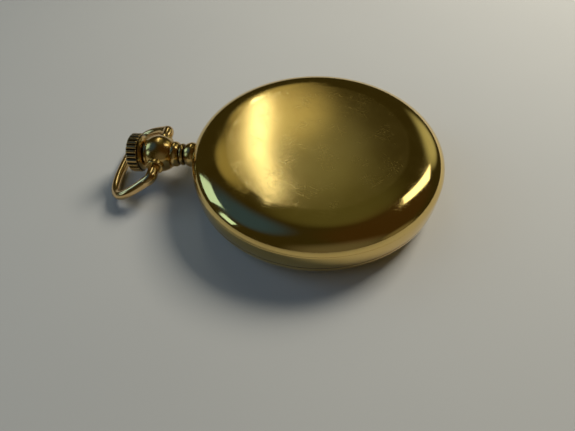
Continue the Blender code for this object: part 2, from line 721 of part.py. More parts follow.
def make_screw(name, spot, bottom, seat, head_radius=SCREW_HEAD_RADIUS, shank=SCREW_SHANK_RADIUS):
    """Cheese-head screw, seated at that height, with a slot across its head."""
    top = seat + SCREW_HEAD_HEIGHT
    screw = place(
        name,
        turned(stacked((shank, bottom, seat), (head_radius, seat, top)), 16),
        blued_steel,
        at_height(spot),
    )
    half, width = head_radius * 1.3, SCREW_SLOT / 2
    corners = [(-half, -width), (half, -width), (half, width), (-half, width)]
    slot = place(
        f"slot_{name}",
        plate([corners], top - 0.15 * MM, top + 0.1 * MM),
        blued_steel,
        at_height(spot),
        smooth=False,
    )
    slot.rotation_euler = (0.0, 0.0, 37.0 * (len(name) % 7))
    boolean(screw, slot, "DIFFERENCE")
    return screw


def make_screws():
    bottom = PLATE_BOTTOM + 0.2 * MM
    for number, foot in enumerate(BARREL_FEET, 1):
        make_screw(f"barrel_bridge_screw_{number}", foot, bottom, BRIDGE_TOP + GAP)
    for number, foot in enumerate(TRAIN_FEET, 1):
        make_screw(f"train_bridge_screw_{number}", foot, bottom, BRIDGE_TOP + GAP)
    make_screw("pallet_cock_screw", PALLET_FOOT, bottom, 8.45 * MM + GAP, 0.8 * MM)
    make_screw("balance_cock_screw", BALANCE_FOOT, bottom, COCK_TOP + GAP)
    for number, spot in enumerate(CASE_SCREWS, 1):
        make_screw(f"case_screw_{number}", spot, bottom, PLATE_TOP + 0.6 * MM + GAP, 1.3 * MM)
    ratchet_top = WINDING_LEVEL + WINDING_THICKNESS
    make_screw("ratchet_screw", BARREL, ratchet_top - 1.0 * MM, ratchet_top + GAP, 1.3 * MM, 0.4 * MM)
    screw_low, screw_high = ratchet_top - 1.0 * MM, ratchet_top + GAP
    make_screw("crown_wheel_screw", CROWN_WHEEL, screw_low, screw_high, 1.1 * MM, 0.4 * MM)


# ---------------------------------------------------------------- barrel and winding train
BARREL_BOTTOM = 6.15 * MM
BARREL_TOP = 7.6 * MM
BARREL_DRUM_RADIUS = 7.0 * MM
BARREL_ARBOR_RADIUS = 1.0 * MM
CROWN_HUB_RADIUS = 1.2 * MM
MAINSPRING_TURNS = 5

CENTRE_PHASE = 0.0
CENTRE_PINION_PHASE = 0.0


def make_barrel():
    phase = mesh_phase(CENTRE, CENTRE_PINION_TEETH, CENTRE_PINION_PHASE, BARREL, BARREL_TEETH)
    arbor_hole = circle(BARREL_ARBOR_RADIUS + GAP, FINE_SEGMENTS)
    floor_top = BARREL_BOTTOM + 0.4 * MM
    teeth = plate([gear(BARREL_TEETH, BARREL_MODULE, phase), arbor_hole], BARREL_BOTTOM, floor_top)
    drum = place("barrel", teeth, brass, at_height(BARREL))
    wall = ring_profile(
        BARREL_DRUM_RADIUS - 0.45 * MM, BARREL_DRUM_RADIUS, floor_top - 0.2 * MM, BARREL_TOP - 0.3 * MM
    )
    helper = place("join_barrel_wall", turned(wall, 28), brass, at_height(BARREL))
    boolean(drum, helper, "UNION")
    cover = ring_profile(
        BARREL_ARBOR_RADIUS + GAP, BARREL_DRUM_RADIUS, BARREL_TOP - 0.3 * MM + GAP, BARREL_TOP
    )
    place("barrel_cover", turned(cover, 24), brass, at_height(BARREL))


def make_mainspring():
    """Flat spiral strip inside the barrel, its inner end at the arbor and its outer end at the wall."""
    inner = BARREL_ARBOR_RADIUS + 0.55 * MM
    outer = BARREL_DRUM_RADIUS - 0.8 * MM
    thick = 0.16 * MM
    steps = MAINSPRING_TURNS * 12
    outside, inside = [], []
    for i in range(steps + 1):
        share = i / steps
        angle = TAU * MAINSPRING_TURNS * share
        radius = inner + (outer - inner) * share
        for chain, offset in ((outside, thick / 2), (inside, -thick / 2)):
            chain.append(((radius + offset) * math.cos(angle), (radius + offset) * math.sin(angle)))
    low, high = BARREL_BOTTOM + 0.5 * MM, BARREL_TOP - 0.35 * MM
    place("mainspring", plate([outside + inside[::-1]], low, high), steel, at_height(BARREL))


def make_winding_train():
    arbor = stacked(
        (0.9 * MM, PLATE_BOTTOM + 0.4 * MM, BARREL_BOTTOM - GAP),
        (BARREL_ARBOR_RADIUS, BARREL_BOTTOM - GAP, WINDING_LEVEL - GAP),
        (0.8 * MM, WINDING_LEVEL - GAP, WINDING_LEVEL + WINDING_THICKNESS),
    )
    arbor_bm = turned(arbor, FINE_SEGMENTS)
    shaft = place("barrel_arbor", arbor_bm, steel, at_height(BARREL))
    screw_hole = turned(disc_profile(0.4 * MM + GAP, 8.8 * MM, 10.4 * MM), 16)
    boolean(shaft, place("cut_arbor_screw", screw_hole, steel, at_height(BARREL)), "DIFFERENCE")

    ratchet_phase = mesh_phase(CROWN_WHEEL, CROWN_WHEEL_TEETH, CROWN_WHEEL_PHASE, BARREL, RATCHET_TEETH)
    low, high = WINDING_LEVEL, WINDING_LEVEL + WINDING_THICKNESS
    ratchet = [gear(RATCHET_TEETH, WINDING_MODULE, ratchet_phase), circle(0.8 * MM + GAP)]
    place("ratchet_wheel", plate(ratchet, low, high), steel, at_height(BARREL))
    wheel = [gear(CROWN_WHEEL_TEETH, WINDING_MODULE, CROWN_WHEEL_PHASE), circle(0.8 * MM + GAP)]
    place("crown_wheel", plate(wheel, low, high), steel, at_height(CROWN_WHEEL))


CROWN_WHEEL_PHASE = 0.1
TRANSFER_DISC_BOTTOM = 8.2 * MM
TRANSFER_DISC_TOP = 8.5 * MM
TRANSFER_TOOTH_BOTTOM = 7.75 * MM
TRANSFER_LINEAR_PITCH = TAU * TRANSFER_RADIUS / TRANSFER_TEETH
WINDING_PINION_PITCH_RADIUS = TRANSFER_LINEAR_PITCH * WINDING_PINION_TEETH / TAU
WINDING_PINION_TIP = 2.2 * MM
WINDING_PINION_ROOT = 1.7 * MM


def make_transfer_wheel():
    """Contrate wheel under the barrel bridge that carries the crown wheel on its shaft."""
    shaft = stacked(
        (TRANSFER_RADIUS + TRANSFER_TOOTH_LENGTH / 2, TRANSFER_DISC_BOTTOM, TRANSFER_DISC_TOP),
        (CROWN_HUB_RADIUS, TRANSFER_DISC_TOP, WINDING_LEVEL - GAP),
        (0.8 * MM, WINDING_LEVEL - GAP, WINDING_LEVEL + WINDING_THICKNESS),
    )
    wheel = place("transfer_wheel", turned(shaft, 24), steel, at_height(CROWN_WHEEL))
    screw_hole = turned(disc_profile(0.4 * MM + GAP, 8.7 * MM, 10.4 * MM), 16)
    boolean(wheel, place("cut_crown_screw", screw_hole, steel, at_height(CROWN_WHEEL)), "DIFFERENCE")
    teeth = bmesh.new()
    half = 0.15 * MM
    for tooth in range(TRANSFER_TEETH):
        turn = Matrix.Rotation(math.pi / 2 + TAU * (tooth + 0.5) / TRANSFER_TEETH, 4, "Z")
        near, far = (TRANSFER_RADIUS + s * TRANSFER_TOOTH_LENGTH / 2 for s in (-1, 0.9))
        low, high = TRANSFER_TOOTH_BOTTOM, TRANSFER_DISC_BOTTOM + 0.1 * MM
        corners = [(near, -half), (far, -half), (far, half), (near, half)]
        bottom = [teeth.verts.new(turn @ Vector((x, y * 0.5, low))) for x, y in corners]
        top = [teeth.verts.new(turn @ Vector((x, y, high))) for x, y in corners]
        teeth.faces.new(bottom[::-1])
        teeth.faces.new(top)
        for i in range(4):
            teeth.faces.new((bottom[i], bottom[(i + 1) % 4], top[(i + 1) % 4], top[i]))
    helper = place("join_transfer_teeth", teeth, steel, at_height(CROWN_WHEEL), smooth=False)
    boolean(wheel, helper, "UNION")
    return wheel


def leaf_outline(teeth, tip, root, phase, half_root=0.24, half_tip=0.1):
    points = []
    for tooth in range(teeth):
        middle = phase + TAU * tooth / teeth
        for radius, share in ((root, -half_root), (tip, -half_tip), (tip, half_tip), (root, half_root)):
            angle = middle + share * TAU / teeth
            points.append((radius * math.cos(angle), radius * math.sin(angle)))
    return points


def make_stem_works():
    """Winding pinion, sliding clutch and the arbor that the case stem turns."""
    pinion_start = CROWN_WHEEL[1] + TRANSFER_RADIUS - TRANSFER_TOOTH_LENGTH / 2
    pinion_end = pinion_start + TRANSFER_TOOTH_LENGTH
    # Local -Y points up once the piece lies along world Y, and a leaf stands straight up at rest.
    outline = leaf_outline(WINDING_PINION_TEETH, WINDING_PINION_TIP, WINDING_PINION_ROOT, -math.pi / 2)
    hole = circle(WINDING_ARBOR_RADIUS + GAP, FINE_SEGMENTS)
    at = (0.0, 0.0, STEM_HEIGHT)
    place("winding_pinion", plate([outline, hole], pinion_start, pinion_end), steel, at, along_y=True)
    clutch_end = pinion_start - GAP
    clutch_start = clutch_end - 2.0 * MM
    waist = (clutch_start + clutch_end) / 2
    clutch = [
        (WINDING_ARBOR_RADIUS + GAP, clutch_start),
        (1.35 * MM, clutch_start),
        (1.35 * MM, waist - 0.35 * MM),
        (0.9 * MM, waist - 0.35 * MM),
        (0.9 * MM, waist + 0.35 * MM),
        (1.35 * MM, waist + 0.35 * MM),
        (1.35 * MM, clutch_end),
        (WINDING_ARBOR_RADIUS + GAP, clutch_end),
    ]
    place("clutch", turned(clutch, FINE_SEGMENTS), steel, at, along_y=True)
    arbor = stacked(
        (WINDING_ARBOR_RADIUS, STEM_SLOT_START + GAP, CASE_STEM_START + 2.2 * MM),
    )
    place("winding_arbor", turned(arbor, 12), steel, at, along_y=True)


# ---------------------------------------------------------------- going train
CENTRE_WHEEL_LEVEL = 8.3 * MM
THIRD_WHEEL_LEVEL = 7.4 * MM
FOURTH_WHEEL_LEVEL = 6.5 * MM
ESCAPE_WHEEL_LEVEL = 7.4 * MM


def make_train_wheel(name, spot, wheel, wheel_level, pinion, pinion_levels, ends, crossing):
    """Wheel with crossed-out arms, and the pinion and arbor it is riveted to."""
    teeth, module, phase = wheel
    rim = module * teeth / 2 - 1.25 * module - 0.45 * MM
    arms, spoke = crossing
    outlines = [gear(teeth, module, phase), *crossings(1.0 * MM, rim, arms, spoke)]
    obj = place(
        name,
        plate(outlines, wheel_level, wheel_level + WHEEL_THICKNESS),
        brass,
        at_height(spot),
    )
    leaves, leaf_module, leaf_phase = pinion
    low, high = pinion_levels
    helpers = [plate([gear(leaves, leaf_module, leaf_phase, leaf=True)], low, high)]
    lower_radius, start, end = ends
    arbor = stacked(
        (lower_radius, start, PLATE_TOP + GAP),
        (ARBOR_RADIUS, PLATE_TOP + GAP, BRIDGE_BOTTOM - GAP),
        (PIVOT_RADIUS, BRIDGE_BOTTOM - GAP, end),
    )
    helpers.append(turned(arbor, 12))
    for number, bm in enumerate(helpers):
        boolean(obj, place(f"join_{name}_{number}", bm, steel, at_height(spot)), "UNION")
    return obj


def make_going_train():
    third_pinion = mesh_phase(CENTRE, CENTRE_TEETH, CENTRE_PHASE, THIRD, THIRD_PINION_TEETH)
    fourth_pinion = mesh_phase(THIRD, THIRD_TEETH, 0.0, FOURTH, FOURTH_PINION_TEETH)
    escape_pinion = mesh_phase(FOURTH, FOURTH_TEETH, 0.0, ESCAPE, ESCAPE_PINION_TEETH)
    bottom = PLATE_BOTTOM + 0.2 * MM
    top = BRIDGE_TOP - 0.05 * MM
    make_train_wheel(
        "centre_wheel",
        CENTRE,
        (CENTRE_TEETH, CENTRE_MODULE, CENTRE_PHASE),
        CENTRE_WHEEL_LEVEL,
        (CENTRE_PINION_TEETH, BARREL_MODULE, CENTRE_PINION_PHASE),
        (PLATE_TOP + 0.12 * MM, 7.0 * MM),
        (CENTRE_POST_RADIUS, CENTRE_POST_END, top),
        (5, 0.7 * MM),
    )
    make_train_wheel(
        "third_wheel",
        THIRD,
        (THIRD_TEETH, THIRD_MODULE, 0.0),
        THIRD_WHEEL_LEVEL,
        (THIRD_PINION_TEETH, CENTRE_MODULE, third_pinion),
        (8.1 * MM, 8.65 * MM),
        (PIVOT_RADIUS, bottom, top),
        (4, 0.6 * MM),
    )
    make_train_wheel(
        "fourth_wheel",
        FOURTH,
        (FOURTH_TEETH, FOURTH_MODULE, 0.0),
        FOURTH_WHEEL_LEVEL,
        (FOURTH_PINION_TEETH, THIRD_MODULE, fourth_pinion),
        (7.2 * MM, 7.85 * MM),
        (PIVOT_RADIUS, SECONDS_HAND_Z, top),
        (4, 0.6 * MM),
    )
    make_escape_wheel(escape_pinion, bottom, top)


CENTRE_POST_RADIUS = 0.42 * MM
CENTRE_POST_END = 1.6 * MM
SECONDS_HAND_Z = 2.55 * MM


def make_escape_wheel(pinion_phase, bottom, top):
    """Club-toothed escape wheel: each tooth leans forward to a flat tip."""
    root = ESCAPE_RADIUS - 0.85 * MM
    points = []
    for tooth in range(ESCAPE_TEETH):
        start = TAU * tooth / ESCAPE_TEETH
        step = TAU / ESCAPE_TEETH
        heel = ESCAPE_RADIUS - 0.08 * MM
        for radius, share in ((root, 0.0), (ESCAPE_RADIUS, 0.42), (heel, 0.54), (root, 0.34)):
            angle = start + share * step
            points.append((radius * math.cos(angle), radius * math.sin(angle)))
    windows = crossings(0.9 * MM, root - 0.35 * MM, 4, 0.5 * MM)
    level = ESCAPE_WHEEL_LEVEL
    wheel = place(
        "escape_wheel", plate([points, *windows], level, level + WHEEL_THICKNESS), steel, at_height(ESCAPE)
    )
    leaves = plate(
        [gear(ESCAPE_PINION_TEETH, FOURTH_MODULE, pinion_phase, leaf=True)], PLATE_TOP + 0.2 * MM, 7.1 * MM
    )
    arbor = turned(
        stacked(
            (PIVOT_RADIUS - 0.06 * MM, bottom, 7.0 * MM),
            (ARBOR_RADIUS, 7.0 * MM, BRIDGE_BOTTOM - GAP),
            (PIVOT_RADIUS, BRIDGE_BOTTOM - GAP, top),
        ),
        12,
    )
    boolean(wheel, place("join_escape_pinion", leaves, steel, at_height(ESCAPE)), "UNION")
    boolean(wheel, place("join_escape_arbor", arbor, steel, at_height(ESCAPE)), "UNION")


# ---------------------------------------------------------------- escapement
def make_pallet_fork():
    """Anchor with two stones held clear of the escape wheel, and the fork that reaches to the roller."""
    to_escape = math.atan2(ESCAPE[1] - PALLET[1], ESCAPE[0] - PALLET[0])
    reach = math.dist(PALLET, BALANCE) - ROLLER_PIN_ORBIT - 0.35 * MM
    outline = [
        (0.62, 0.9), (1.0, 1.9), (1.5, 2.45), (1.15, 2.75), (0.45, 2.1), (0.05, 1.0), (-0.6, 0.3),
    ]
    tail = -reach / MM
    outline += [(tail + 0.55, 0.2), (tail, 0.55), (tail, 0.2), (tail + 0.4, 0.0)]
    upper = [(x * MM, y * MM) for x, y in outline]
    points = upper + [(x, -y) for x, y in upper[-2::-1]]
    level = ESCAPE_WHEEL_LEVEL
    fork = place("pallet_fork", plate([points], level, level + 0.3 * MM), steel, at_height(PALLET))
    fork.rotation_euler = (0.0, 0.0, to_escape)
    arbor = turned(
        stacked(
            (PIVOT_RADIUS, PLATE_BOTTOM + 0.2 * MM, PLATE_TOP + 0.1 * MM),
            (0.4 * MM, PLATE_TOP + 0.1 * MM, 7.9 * MM),
            (PIVOT_RADIUS, 7.9 * MM, 8.4 * MM),
        ),
        12,
    )
    helper = place("join_pallet_arbor", arbor, steel, at_height(PALLET))
    boolean(fork, helper, "UNION")


ROLLER_PIN_ORBIT = 1.1 * MM
BALANCE_LEVEL = 8.7 * MM
BALANCE_RIM_HEIGHT = 0.45 * MM
BALANCE_RIM_WIDTH = 0.7 * MM
HAIRSPRING_LEVEL = 9.25 * MM


def make_balance():
    """Balance wheel with two arms, its staff and roller, and the flat hairspring above it."""
    outer, inner = BALANCE_RADIUS, BALANCE_RADIUS - BALANCE_RIM_WIDTH
    rim = [circle(outer, 48), *crossings(1.0 * MM, inner, 2, 1.0 * MM)]
    top = BALANCE_LEVEL + BALANCE_RIM_HEIGHT
    wheel = place("balance_wheel", plate(rim, BALANCE_LEVEL, top), brass, at_height(BALANCE))
    hole = turned(disc_profile(0.5 * MM + GAP, 8.0 * MM, 10.0 * MM), 16)
    boolean(wheel, place("cut_balance_hole", hole, brass, at_height(BALANCE)), "DIFFERENCE")
    staff = stacked(
        (PIVOT_RADIUS, PLATE_BOTTOM + 0.2 * MM, PLATE_TOP + 0.1 * MM),
        (0.4 * MM, PLATE_TOP + 0.1 * MM, 7.85 * MM),
        (1.6 * MM, 7.85 * MM, 8.1 * MM),
        (0.8 * MM, 8.1 * MM, BALANCE_LEVEL - GAP),
        (0.5 * MM, BALANCE_LEVEL - GAP, COCK_BOTTOM - GAP),
        (PIVOT_RADIUS, COCK_BOTTOM - GAP, COCK_TOP - GAP),
    )
    axis = place("balance_staff", turned(staff, 16), steel, at_height(BALANCE))
    to_pallet = math.atan2(PALLET[1] - BALANCE[1], PALLET[0] - BALANCE[0])
    pin = turned(stacked((0.2 * MM, 7.3 * MM, 7.95 * MM)), 10)
    spot = polar(ROLLER_PIN_ORBIT, math.degrees(to_pallet), BALANCE)
    boolean(axis, place("join_impulse_pin", pin, ruby, at_height(spot)), "UNION")


def make_hairspring():
    turns, steps = 4, 4 * 14
    inner, outer, thick = 0.95 * MM, 4.4 * MM, 0.12 * MM
    outside, inside = [], []
    for i in range(steps + 1):
        share = i / steps
        angle = TAU * turns * share + math.radians(100)
        radius = inner + (outer - inner) * share
        for chain, offset in ((outside, thick / 2), (inside, -thick / 2)):
            chain.append(((radius + offset) * math.cos(angle), (radius + offset) * math.sin(angle)))
    spring = plate([outside + inside[::-1]], HAIRSPRING_LEVEL, HAIRSPRING_LEVEL + 0.2 * MM)
    place("hairspring", spring, blued_steel, at_height(BALANCE))
    pointer = [
        (-2.0, 0.35), (-1.45, 1.0), (0.0, 1.7), (1.45, 1.0), (2.0, 0.35), (5.2, 0.12), (5.2, -0.12),
        (2.0, -0.35), (1.45, -1.0), (0.0, -1.7), (-1.45, -1.0), (-2.0, -0.35),
    ]
    outline = [(x * MM, y * MM) for x, y in pointer]
    ring = plate([outline, circle(1.0 * MM, 16)], COCK_TOP + GAP, COCK_TOP + 0.25 * MM)
    index = place("regulator", ring, steel, at_height(BALANCE))
    index.rotation_euler = (0.0, 0.0, math.radians(62))


# ---------------------------------------------------------------- click, keyless and motion work
def make_click():
    """Click beside the ratchet wheel, clear of its tooth tips, and the wire spring that presses it."""
    pivot = CLICK_PIVOT
    outline = [(-0.55, -0.45), (0.55, -0.5), (1.9, -0.95), (1.65, -0.35), (0.6, 0.5), (-0.5, 0.5)]
    points = [(x * MM, y * MM) for x, y in outline]
    outlines = [points, circle(CLICK_STUD_RADIUS + GAP, 12)]
    bm = plate(outlines, WINDING_LEVEL, WINDING_LEVEL + WINDING_THICKNESS)
    place("click", bm, steel, at_height(pivot))
    stud = [(0.2, 1.05), (2.6, 0.75), (2.6, 0.6), (0.2, 0.85), (-1.6, 1.0), (-2.2, 0.3)]
    stud += [(-2.35, 0.4), (-1.7, 1.18)]
    spring = plate([[(x * MM, y * MM) for x, y in stud]], WINDING_LEVEL, WINDING_LEVEL + 0.25 * MM)
    place("click_spring", spring, steel, at_height(pivot))


SETTING_LEVEL = 3.55 * MM
HOUR_WHEEL_LEVEL = 3.5 * MM
MINUTE_WHEEL_LEVEL = 3.9 * MM


def make_motion_work():
    """Cannon pinion, minute wheel and hour wheel between the dial and the main plate."""
    minute_phase = mesh_phase(CENTRE, CANNON_TEETH, 0.0, MINUTE, MINUTE_TEETH)
    hour_phase = mesh_phase(MINUTE, MINUTE_PINION_TEETH, 0.0, CENTRE, HOUR_TEETH)
    bore = CENTRE_POST_RADIUS + GAP
    rim = gear(CANNON_TEETH, MOTION_MODULE, 0.0, leaf=True)
    leaves = plate([rim, circle(bore, 16)], 3.86 * MM, 4.25 * MM)
    cannon = place("cannon_pinion", leaves, steel, at_height(CENTRE))
    pipe = turned(ring_profile(bore, 0.62 * MM, 1.75 * MM, 3.95 * MM), 16)
    boolean(cannon, place("join_cannon_pipe", pipe, steel, at_height(CENTRE)), "UNION")

    wheel = plate(
        [gear(MINUTE_TEETH, MOTION_MODULE, minute_phase), circle(STUD_RADIUS + GAP, 12)],
        MINUTE_WHEEL_LEVEL,
        MINUTE_WHEEL_LEVEL + 0.2 * MM,
    )
    minute = place("minute_wheel", wheel, brass, at_height(MINUTE))
    pinion = plate(
        [gear(MINUTE_PINION_TEETH, MOTION_HOUR_MODULE, 0.0, leaf=True), circle(STUD_RADIUS + GAP, 12)],
        HOUR_WHEEL_LEVEL - 0.02 * MM,
        MINUTE_WHEEL_LEVEL + 0.1 * MM,
    )
    boolean(minute, place("join_minute_pinion", pinion, steel, at_height(MINUTE)), "UNION")

    pipe_bore = 0.62 * MM + GAP
    wheel = plate(
        [gear(HOUR_TEETH, MOTION_HOUR_MODULE, hour_phase), circle(pipe_bore, 16)],
        HOUR_WHEEL_LEVEL,
        HOUR_WHEEL_LEVEL + 0.2 * MM,
    )
    hour = place("hour_wheel", wheel, brass, at_height(CENTRE))
    pipe = turned(ring_profile(pipe_bore, 0.95 * MM, 2.2 * MM, HOUR_WHEEL_LEVEL + 0.1 * MM), 16)
    boolean(hour, place("join_hour_pipe", pipe, brass, at_height(CENTRE)), "UNION")


# The hour pair shares the cannon pair's centre distance, so its module follows from its teeth.
MOTION_HOUR_MODULE = (
    (centre_distance(MOTION_MODULE, CANNON_TEETH, MINUTE_TEETH) - MESH_PLAY)
    * 2
    / (MINUTE_PINION_TEETH + HOUR_TEETH)
)


def make_setting_works():
    """Levers on the dial side that move the clutch, and the setting wheel it turns."""
    hole = circle(STUD_RADIUS + GAP, 12)
    low, high = HOUR_WHEEL_LEVEL + GAP, HOUR_WHEEL_LEVEL + 0.3 * MM
    # Each lever is drawn about its own pivot, its tip beside the clutch.
    lever = [(-4.2, -1.7), (1.0, -0.9), (1.4, 0.9), (-0.4, 1.6), (-4.0, 0.3)]
    yoke = [(5.4, 1.95), (5.4, 1.25), (0.7, -1.3), (-1.1, -0.8), (-0.8, 1.0), (1.3, 1.8)]
    shapes = (("setting_lever", SETTING_PIVOT, lever), ("clutch_lever", CLUTCH_PIVOT, yoke))
    for name, spot, outline in shapes:
        points = [(x * MM, y * MM) for x, y in outline]
        place(name, plate([points, hole], low, high), steel, at_height(spot))
    minute_phase = mesh_phase(CENTRE, CANNON_TEETH, 0.0, MINUTE, MINUTE_TEETH)
    idler_phase = mesh_phase(MINUTE, MINUTE_TEETH, minute_phase, SETTING_IDLER, SETTING_IDLER_TEETH)
    wheel_phase = mesh_phase(SETTING_IDLER, SETTING_IDLER_TEETH, idler_phase, SETTING, SETTING_TEETH)
    wheels = (
        ("setting_idler", SETTING_IDLER, SETTING_IDLER_TEETH, idler_phase),
        ("setting_wheel", SETTING, SETTING_TEETH, wheel_phase),
    )
    for name, spot, teeth, phase in wheels:
        outlines = [gear(teeth, MOTION_MODULE, phase), circle(STUD_RADIUS + GAP, 12)]
        level = MINUTE_WHEEL_LEVEL
        place(name, plate(outlines, level, level + 0.2 * MM), steel, at_height(spot))


# ---------------------------------------------------------------- dial and hands
def hand(name, spot, outline, level, bore, degrees, thickness=0.15 * MM):
    """Flat hand drawn pointing along +Y, then turned clockwise as the dial is read from below."""
    points = [(x * MM, y * MM) for x, y in outline]
    obj = place(
        name, plate([points, circle(bore, 16)], level, level + thickness), blued_steel, at_height(spot)
    )
    obj.rotation_euler = (0.0, 0.0, math.radians(degrees))


def spade(length, eye_at, eye_half, root_half, boss):
    """Spade hand outline: round boss, slender stem, a swelling near its end, and a fine point."""
    right = [
        (root_half, boss * 0.9),
        (0.2, eye_at - eye_half * 1.6),
        (eye_half, eye_at - eye_half * 0.4),
        (eye_half * 0.75, eye_at + eye_half * 0.5),
        (0.16, eye_at + eye_half * 1.5),
        (0.0, length),
    ]
    left = [(-x, y) for x, y in right[-2::-1]]
    start = math.atan2(boss * 0.9, -root_half)
    end = math.atan2(boss * 0.9, root_half) + TAU
    around = [
        (boss * math.cos(start + (end - start) * i / 10), boss * math.sin(start + (end - start) * i / 10))
        for i in range(1, 10)
    ]
    return right + left + around


HOUR_ANGLE, MINUTE_ANGLE, SECONDS_ANGLE = 304.0, 48.0, 222.0


def make_dial_and_hands():
    seconds_hole = PIVOT_RADIUS + 2 * GAP
    outlines = [
        circle(DIAL_RADIUS, 40),
        circle(0.95 * MM + 2 * GAP, 16, CENTRE),
        circle(seconds_hole, 12, FOURTH),
    ]
    dial_back = DIAL_FACE_Z + DIAL_THICKNESS
    dial = place("dial", plate(outlines, DIAL_FACE_Z, dial_back), enamel)
    for number, spot in enumerate(DIAL_FEET):
        foot = turned(disc_profile(DIAL_FOOT_RADIUS, dial_back - 0.2 * MM, PLATE_BOTTOM + 0.6 * MM), 12)
        boolean(dial, place(f"join_dial_foot_{number}", foot, nickel, at_height(spot)), "UNION")
    hand("hour_hand", CENTRE, spade(10.2, 7.2, 1.3, 0.45, 1.6), 2.2 * MM, 0.95 * MM + GAP, HOUR_ANGLE)
    hand("minute_hand", CENTRE, spade(15.6, 11.6, 1.0, 0.4, 1.3), 1.75 * MM, 0.62 * MM + GAP, MINUTE_ANGLE)
    pointer = [(0.14, -2.0), (0.12, 0.6), (0.05, 4.2), (-0.05, 4.2), (-0.12, 0.6), (-0.14, -2.0)]
    boss = 0.62
    pointer = (
        [(0.16, -2.0), (0.16, -boss)]
        + [(boss * math.cos(a), boss * math.sin(a)) for a in (-0.9, -0.3, 0.3, 0.9)]
        + [(0.12, boss), (0.05, 4.2), (-0.05, 4.2), (-0.12, boss)]
        + [(-boss * math.cos(a), boss * math.sin(a)) for a in (0.9, 0.3, -0.3, -0.9)]
        + [(-0.16, -boss), (-0.16, -2.0)]
    )
    hand("seconds_hand", FOURTH, pointer, SECONDS_HAND_Z, PIVOT_RADIUS + GAP, SECONDS_ANGLE, 0.12 * MM)


# ---------------------------------------------------------------- assembly
make_back_cover()
make_case_centre()
make_bezel()
make_crystal()
make_pendant()
make_bow()
make_crown()
make_stems()
make_main_plate()
make_bridges()
make_jewels()
make_screws()
make_barrel()
make_mainspring()
make_winding_train()
make_transfer_wheel()
make_stem_works()
make_going_train()
make_pallet_fork()
make_balance()
make_hairspring()
make_click()
make_motion_work()
make_setting_works()
make_dial_and_hands()
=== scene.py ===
"""Open-face pocket watch, lying dial down on a pale table: case, bow, winding button and movement."""

import json
import math

import bmesh
import bpy
from mathutils import Matrix, Vector


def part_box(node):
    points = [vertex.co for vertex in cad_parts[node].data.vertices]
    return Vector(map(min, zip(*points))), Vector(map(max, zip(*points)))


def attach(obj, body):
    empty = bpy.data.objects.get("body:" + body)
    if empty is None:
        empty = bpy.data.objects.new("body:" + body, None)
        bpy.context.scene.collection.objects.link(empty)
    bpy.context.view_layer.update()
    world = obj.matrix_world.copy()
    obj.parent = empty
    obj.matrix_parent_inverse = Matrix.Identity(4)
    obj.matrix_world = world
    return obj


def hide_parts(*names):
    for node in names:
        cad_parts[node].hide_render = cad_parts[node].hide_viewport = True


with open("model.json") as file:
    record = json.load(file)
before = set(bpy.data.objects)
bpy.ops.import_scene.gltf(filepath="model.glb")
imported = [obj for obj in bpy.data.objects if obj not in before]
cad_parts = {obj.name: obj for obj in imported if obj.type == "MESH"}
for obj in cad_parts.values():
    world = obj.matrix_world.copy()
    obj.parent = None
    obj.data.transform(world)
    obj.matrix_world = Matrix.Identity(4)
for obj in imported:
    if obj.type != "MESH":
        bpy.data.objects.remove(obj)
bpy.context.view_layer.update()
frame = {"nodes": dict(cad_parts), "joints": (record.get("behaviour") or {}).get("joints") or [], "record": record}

# ------------------------------------------------------------------ camera
# A short lens held close over the watch and tilted a little. It looks down across the back of the
# case, with the winding button to the left.
MM = 0.001
LENS = 27.05
CAMERA_TARGET = (-14.17 * MM, 4.66 * MM, 5.0 * MM)
CAMERA_DISTANCE = 80.66 * MM
CAMERA_AZIMUTH = math.radians(277.1)
CAMERA_ELEVATION = math.radians(51.2)
CAMERA_ROLL = math.radians(-2.5)

camera_data = bpy.data.cameras.new("camera")
camera_data.sensor_width = 36.0
camera_data.lens = LENS
camera_data.clip_start = 0.002
camera_data.clip_end = 20.0
camera = bpy.data.objects.new("camera", camera_data)
bpy.context.scene.collection.objects.link(camera)
bpy.context.scene.camera = camera
bpy.context.scene.view_settings.view_transform = "Standard"


def aim_camera(target, distance, azimuth, elevation, roll):
    """Puts the camera that far from the target; azimuth 0 looks along +Y."""
    back = Vector(
        (
            math.sin(azimuth) * math.cos(elevation),
            -math.cos(azimuth) * math.cos(elevation),
            math.sin(elevation),
        )
    )
    right = Vector((0.0, 0.0, 1.0)).cross(back).normalized()
    up = back.cross(right)
    tilted_right = math.cos(roll) * right + math.sin(roll) * up
    tilted_up = -math.sin(roll) * right + math.cos(roll) * up
    turn = Matrix((tilted_right, tilted_up, back)).transposed().to_4x4()
    camera.matrix_world = Matrix.Translation(Vector(target) + back * distance) @ turn


aim_camera(CAMERA_TARGET, CAMERA_DISTANCE, CAMERA_AZIMUTH, CAMERA_ELEVATION, CAMERA_ROLL)


# ------------------------------------------------------------------ table
# The watch lies on a smooth pale laminate top, faintly mottled. The lamps stand close to the watch,
# so the top glows softly far from it, to stay pale there.
TABLE_REACH = 1.6


def add_node(tree, kind, **settings):
    """A node with its properties, or its input sockets by name, set."""
    made = tree.nodes.new(kind)
    for key, value in settings.items():
        if hasattr(made, key):
            setattr(made, key, value)
        else:
            made.inputs[key.replace("_", " ")].default_value = value
    return made


def smooth_step(tree, start, end):
    """0 up to the start, 1 from the end, and a soft rise between them."""
    return add_node(
        tree, "ShaderNodeMapRange", interpolation_type="SMOOTHSTEP", From_Min=start, From_Max=end
    )


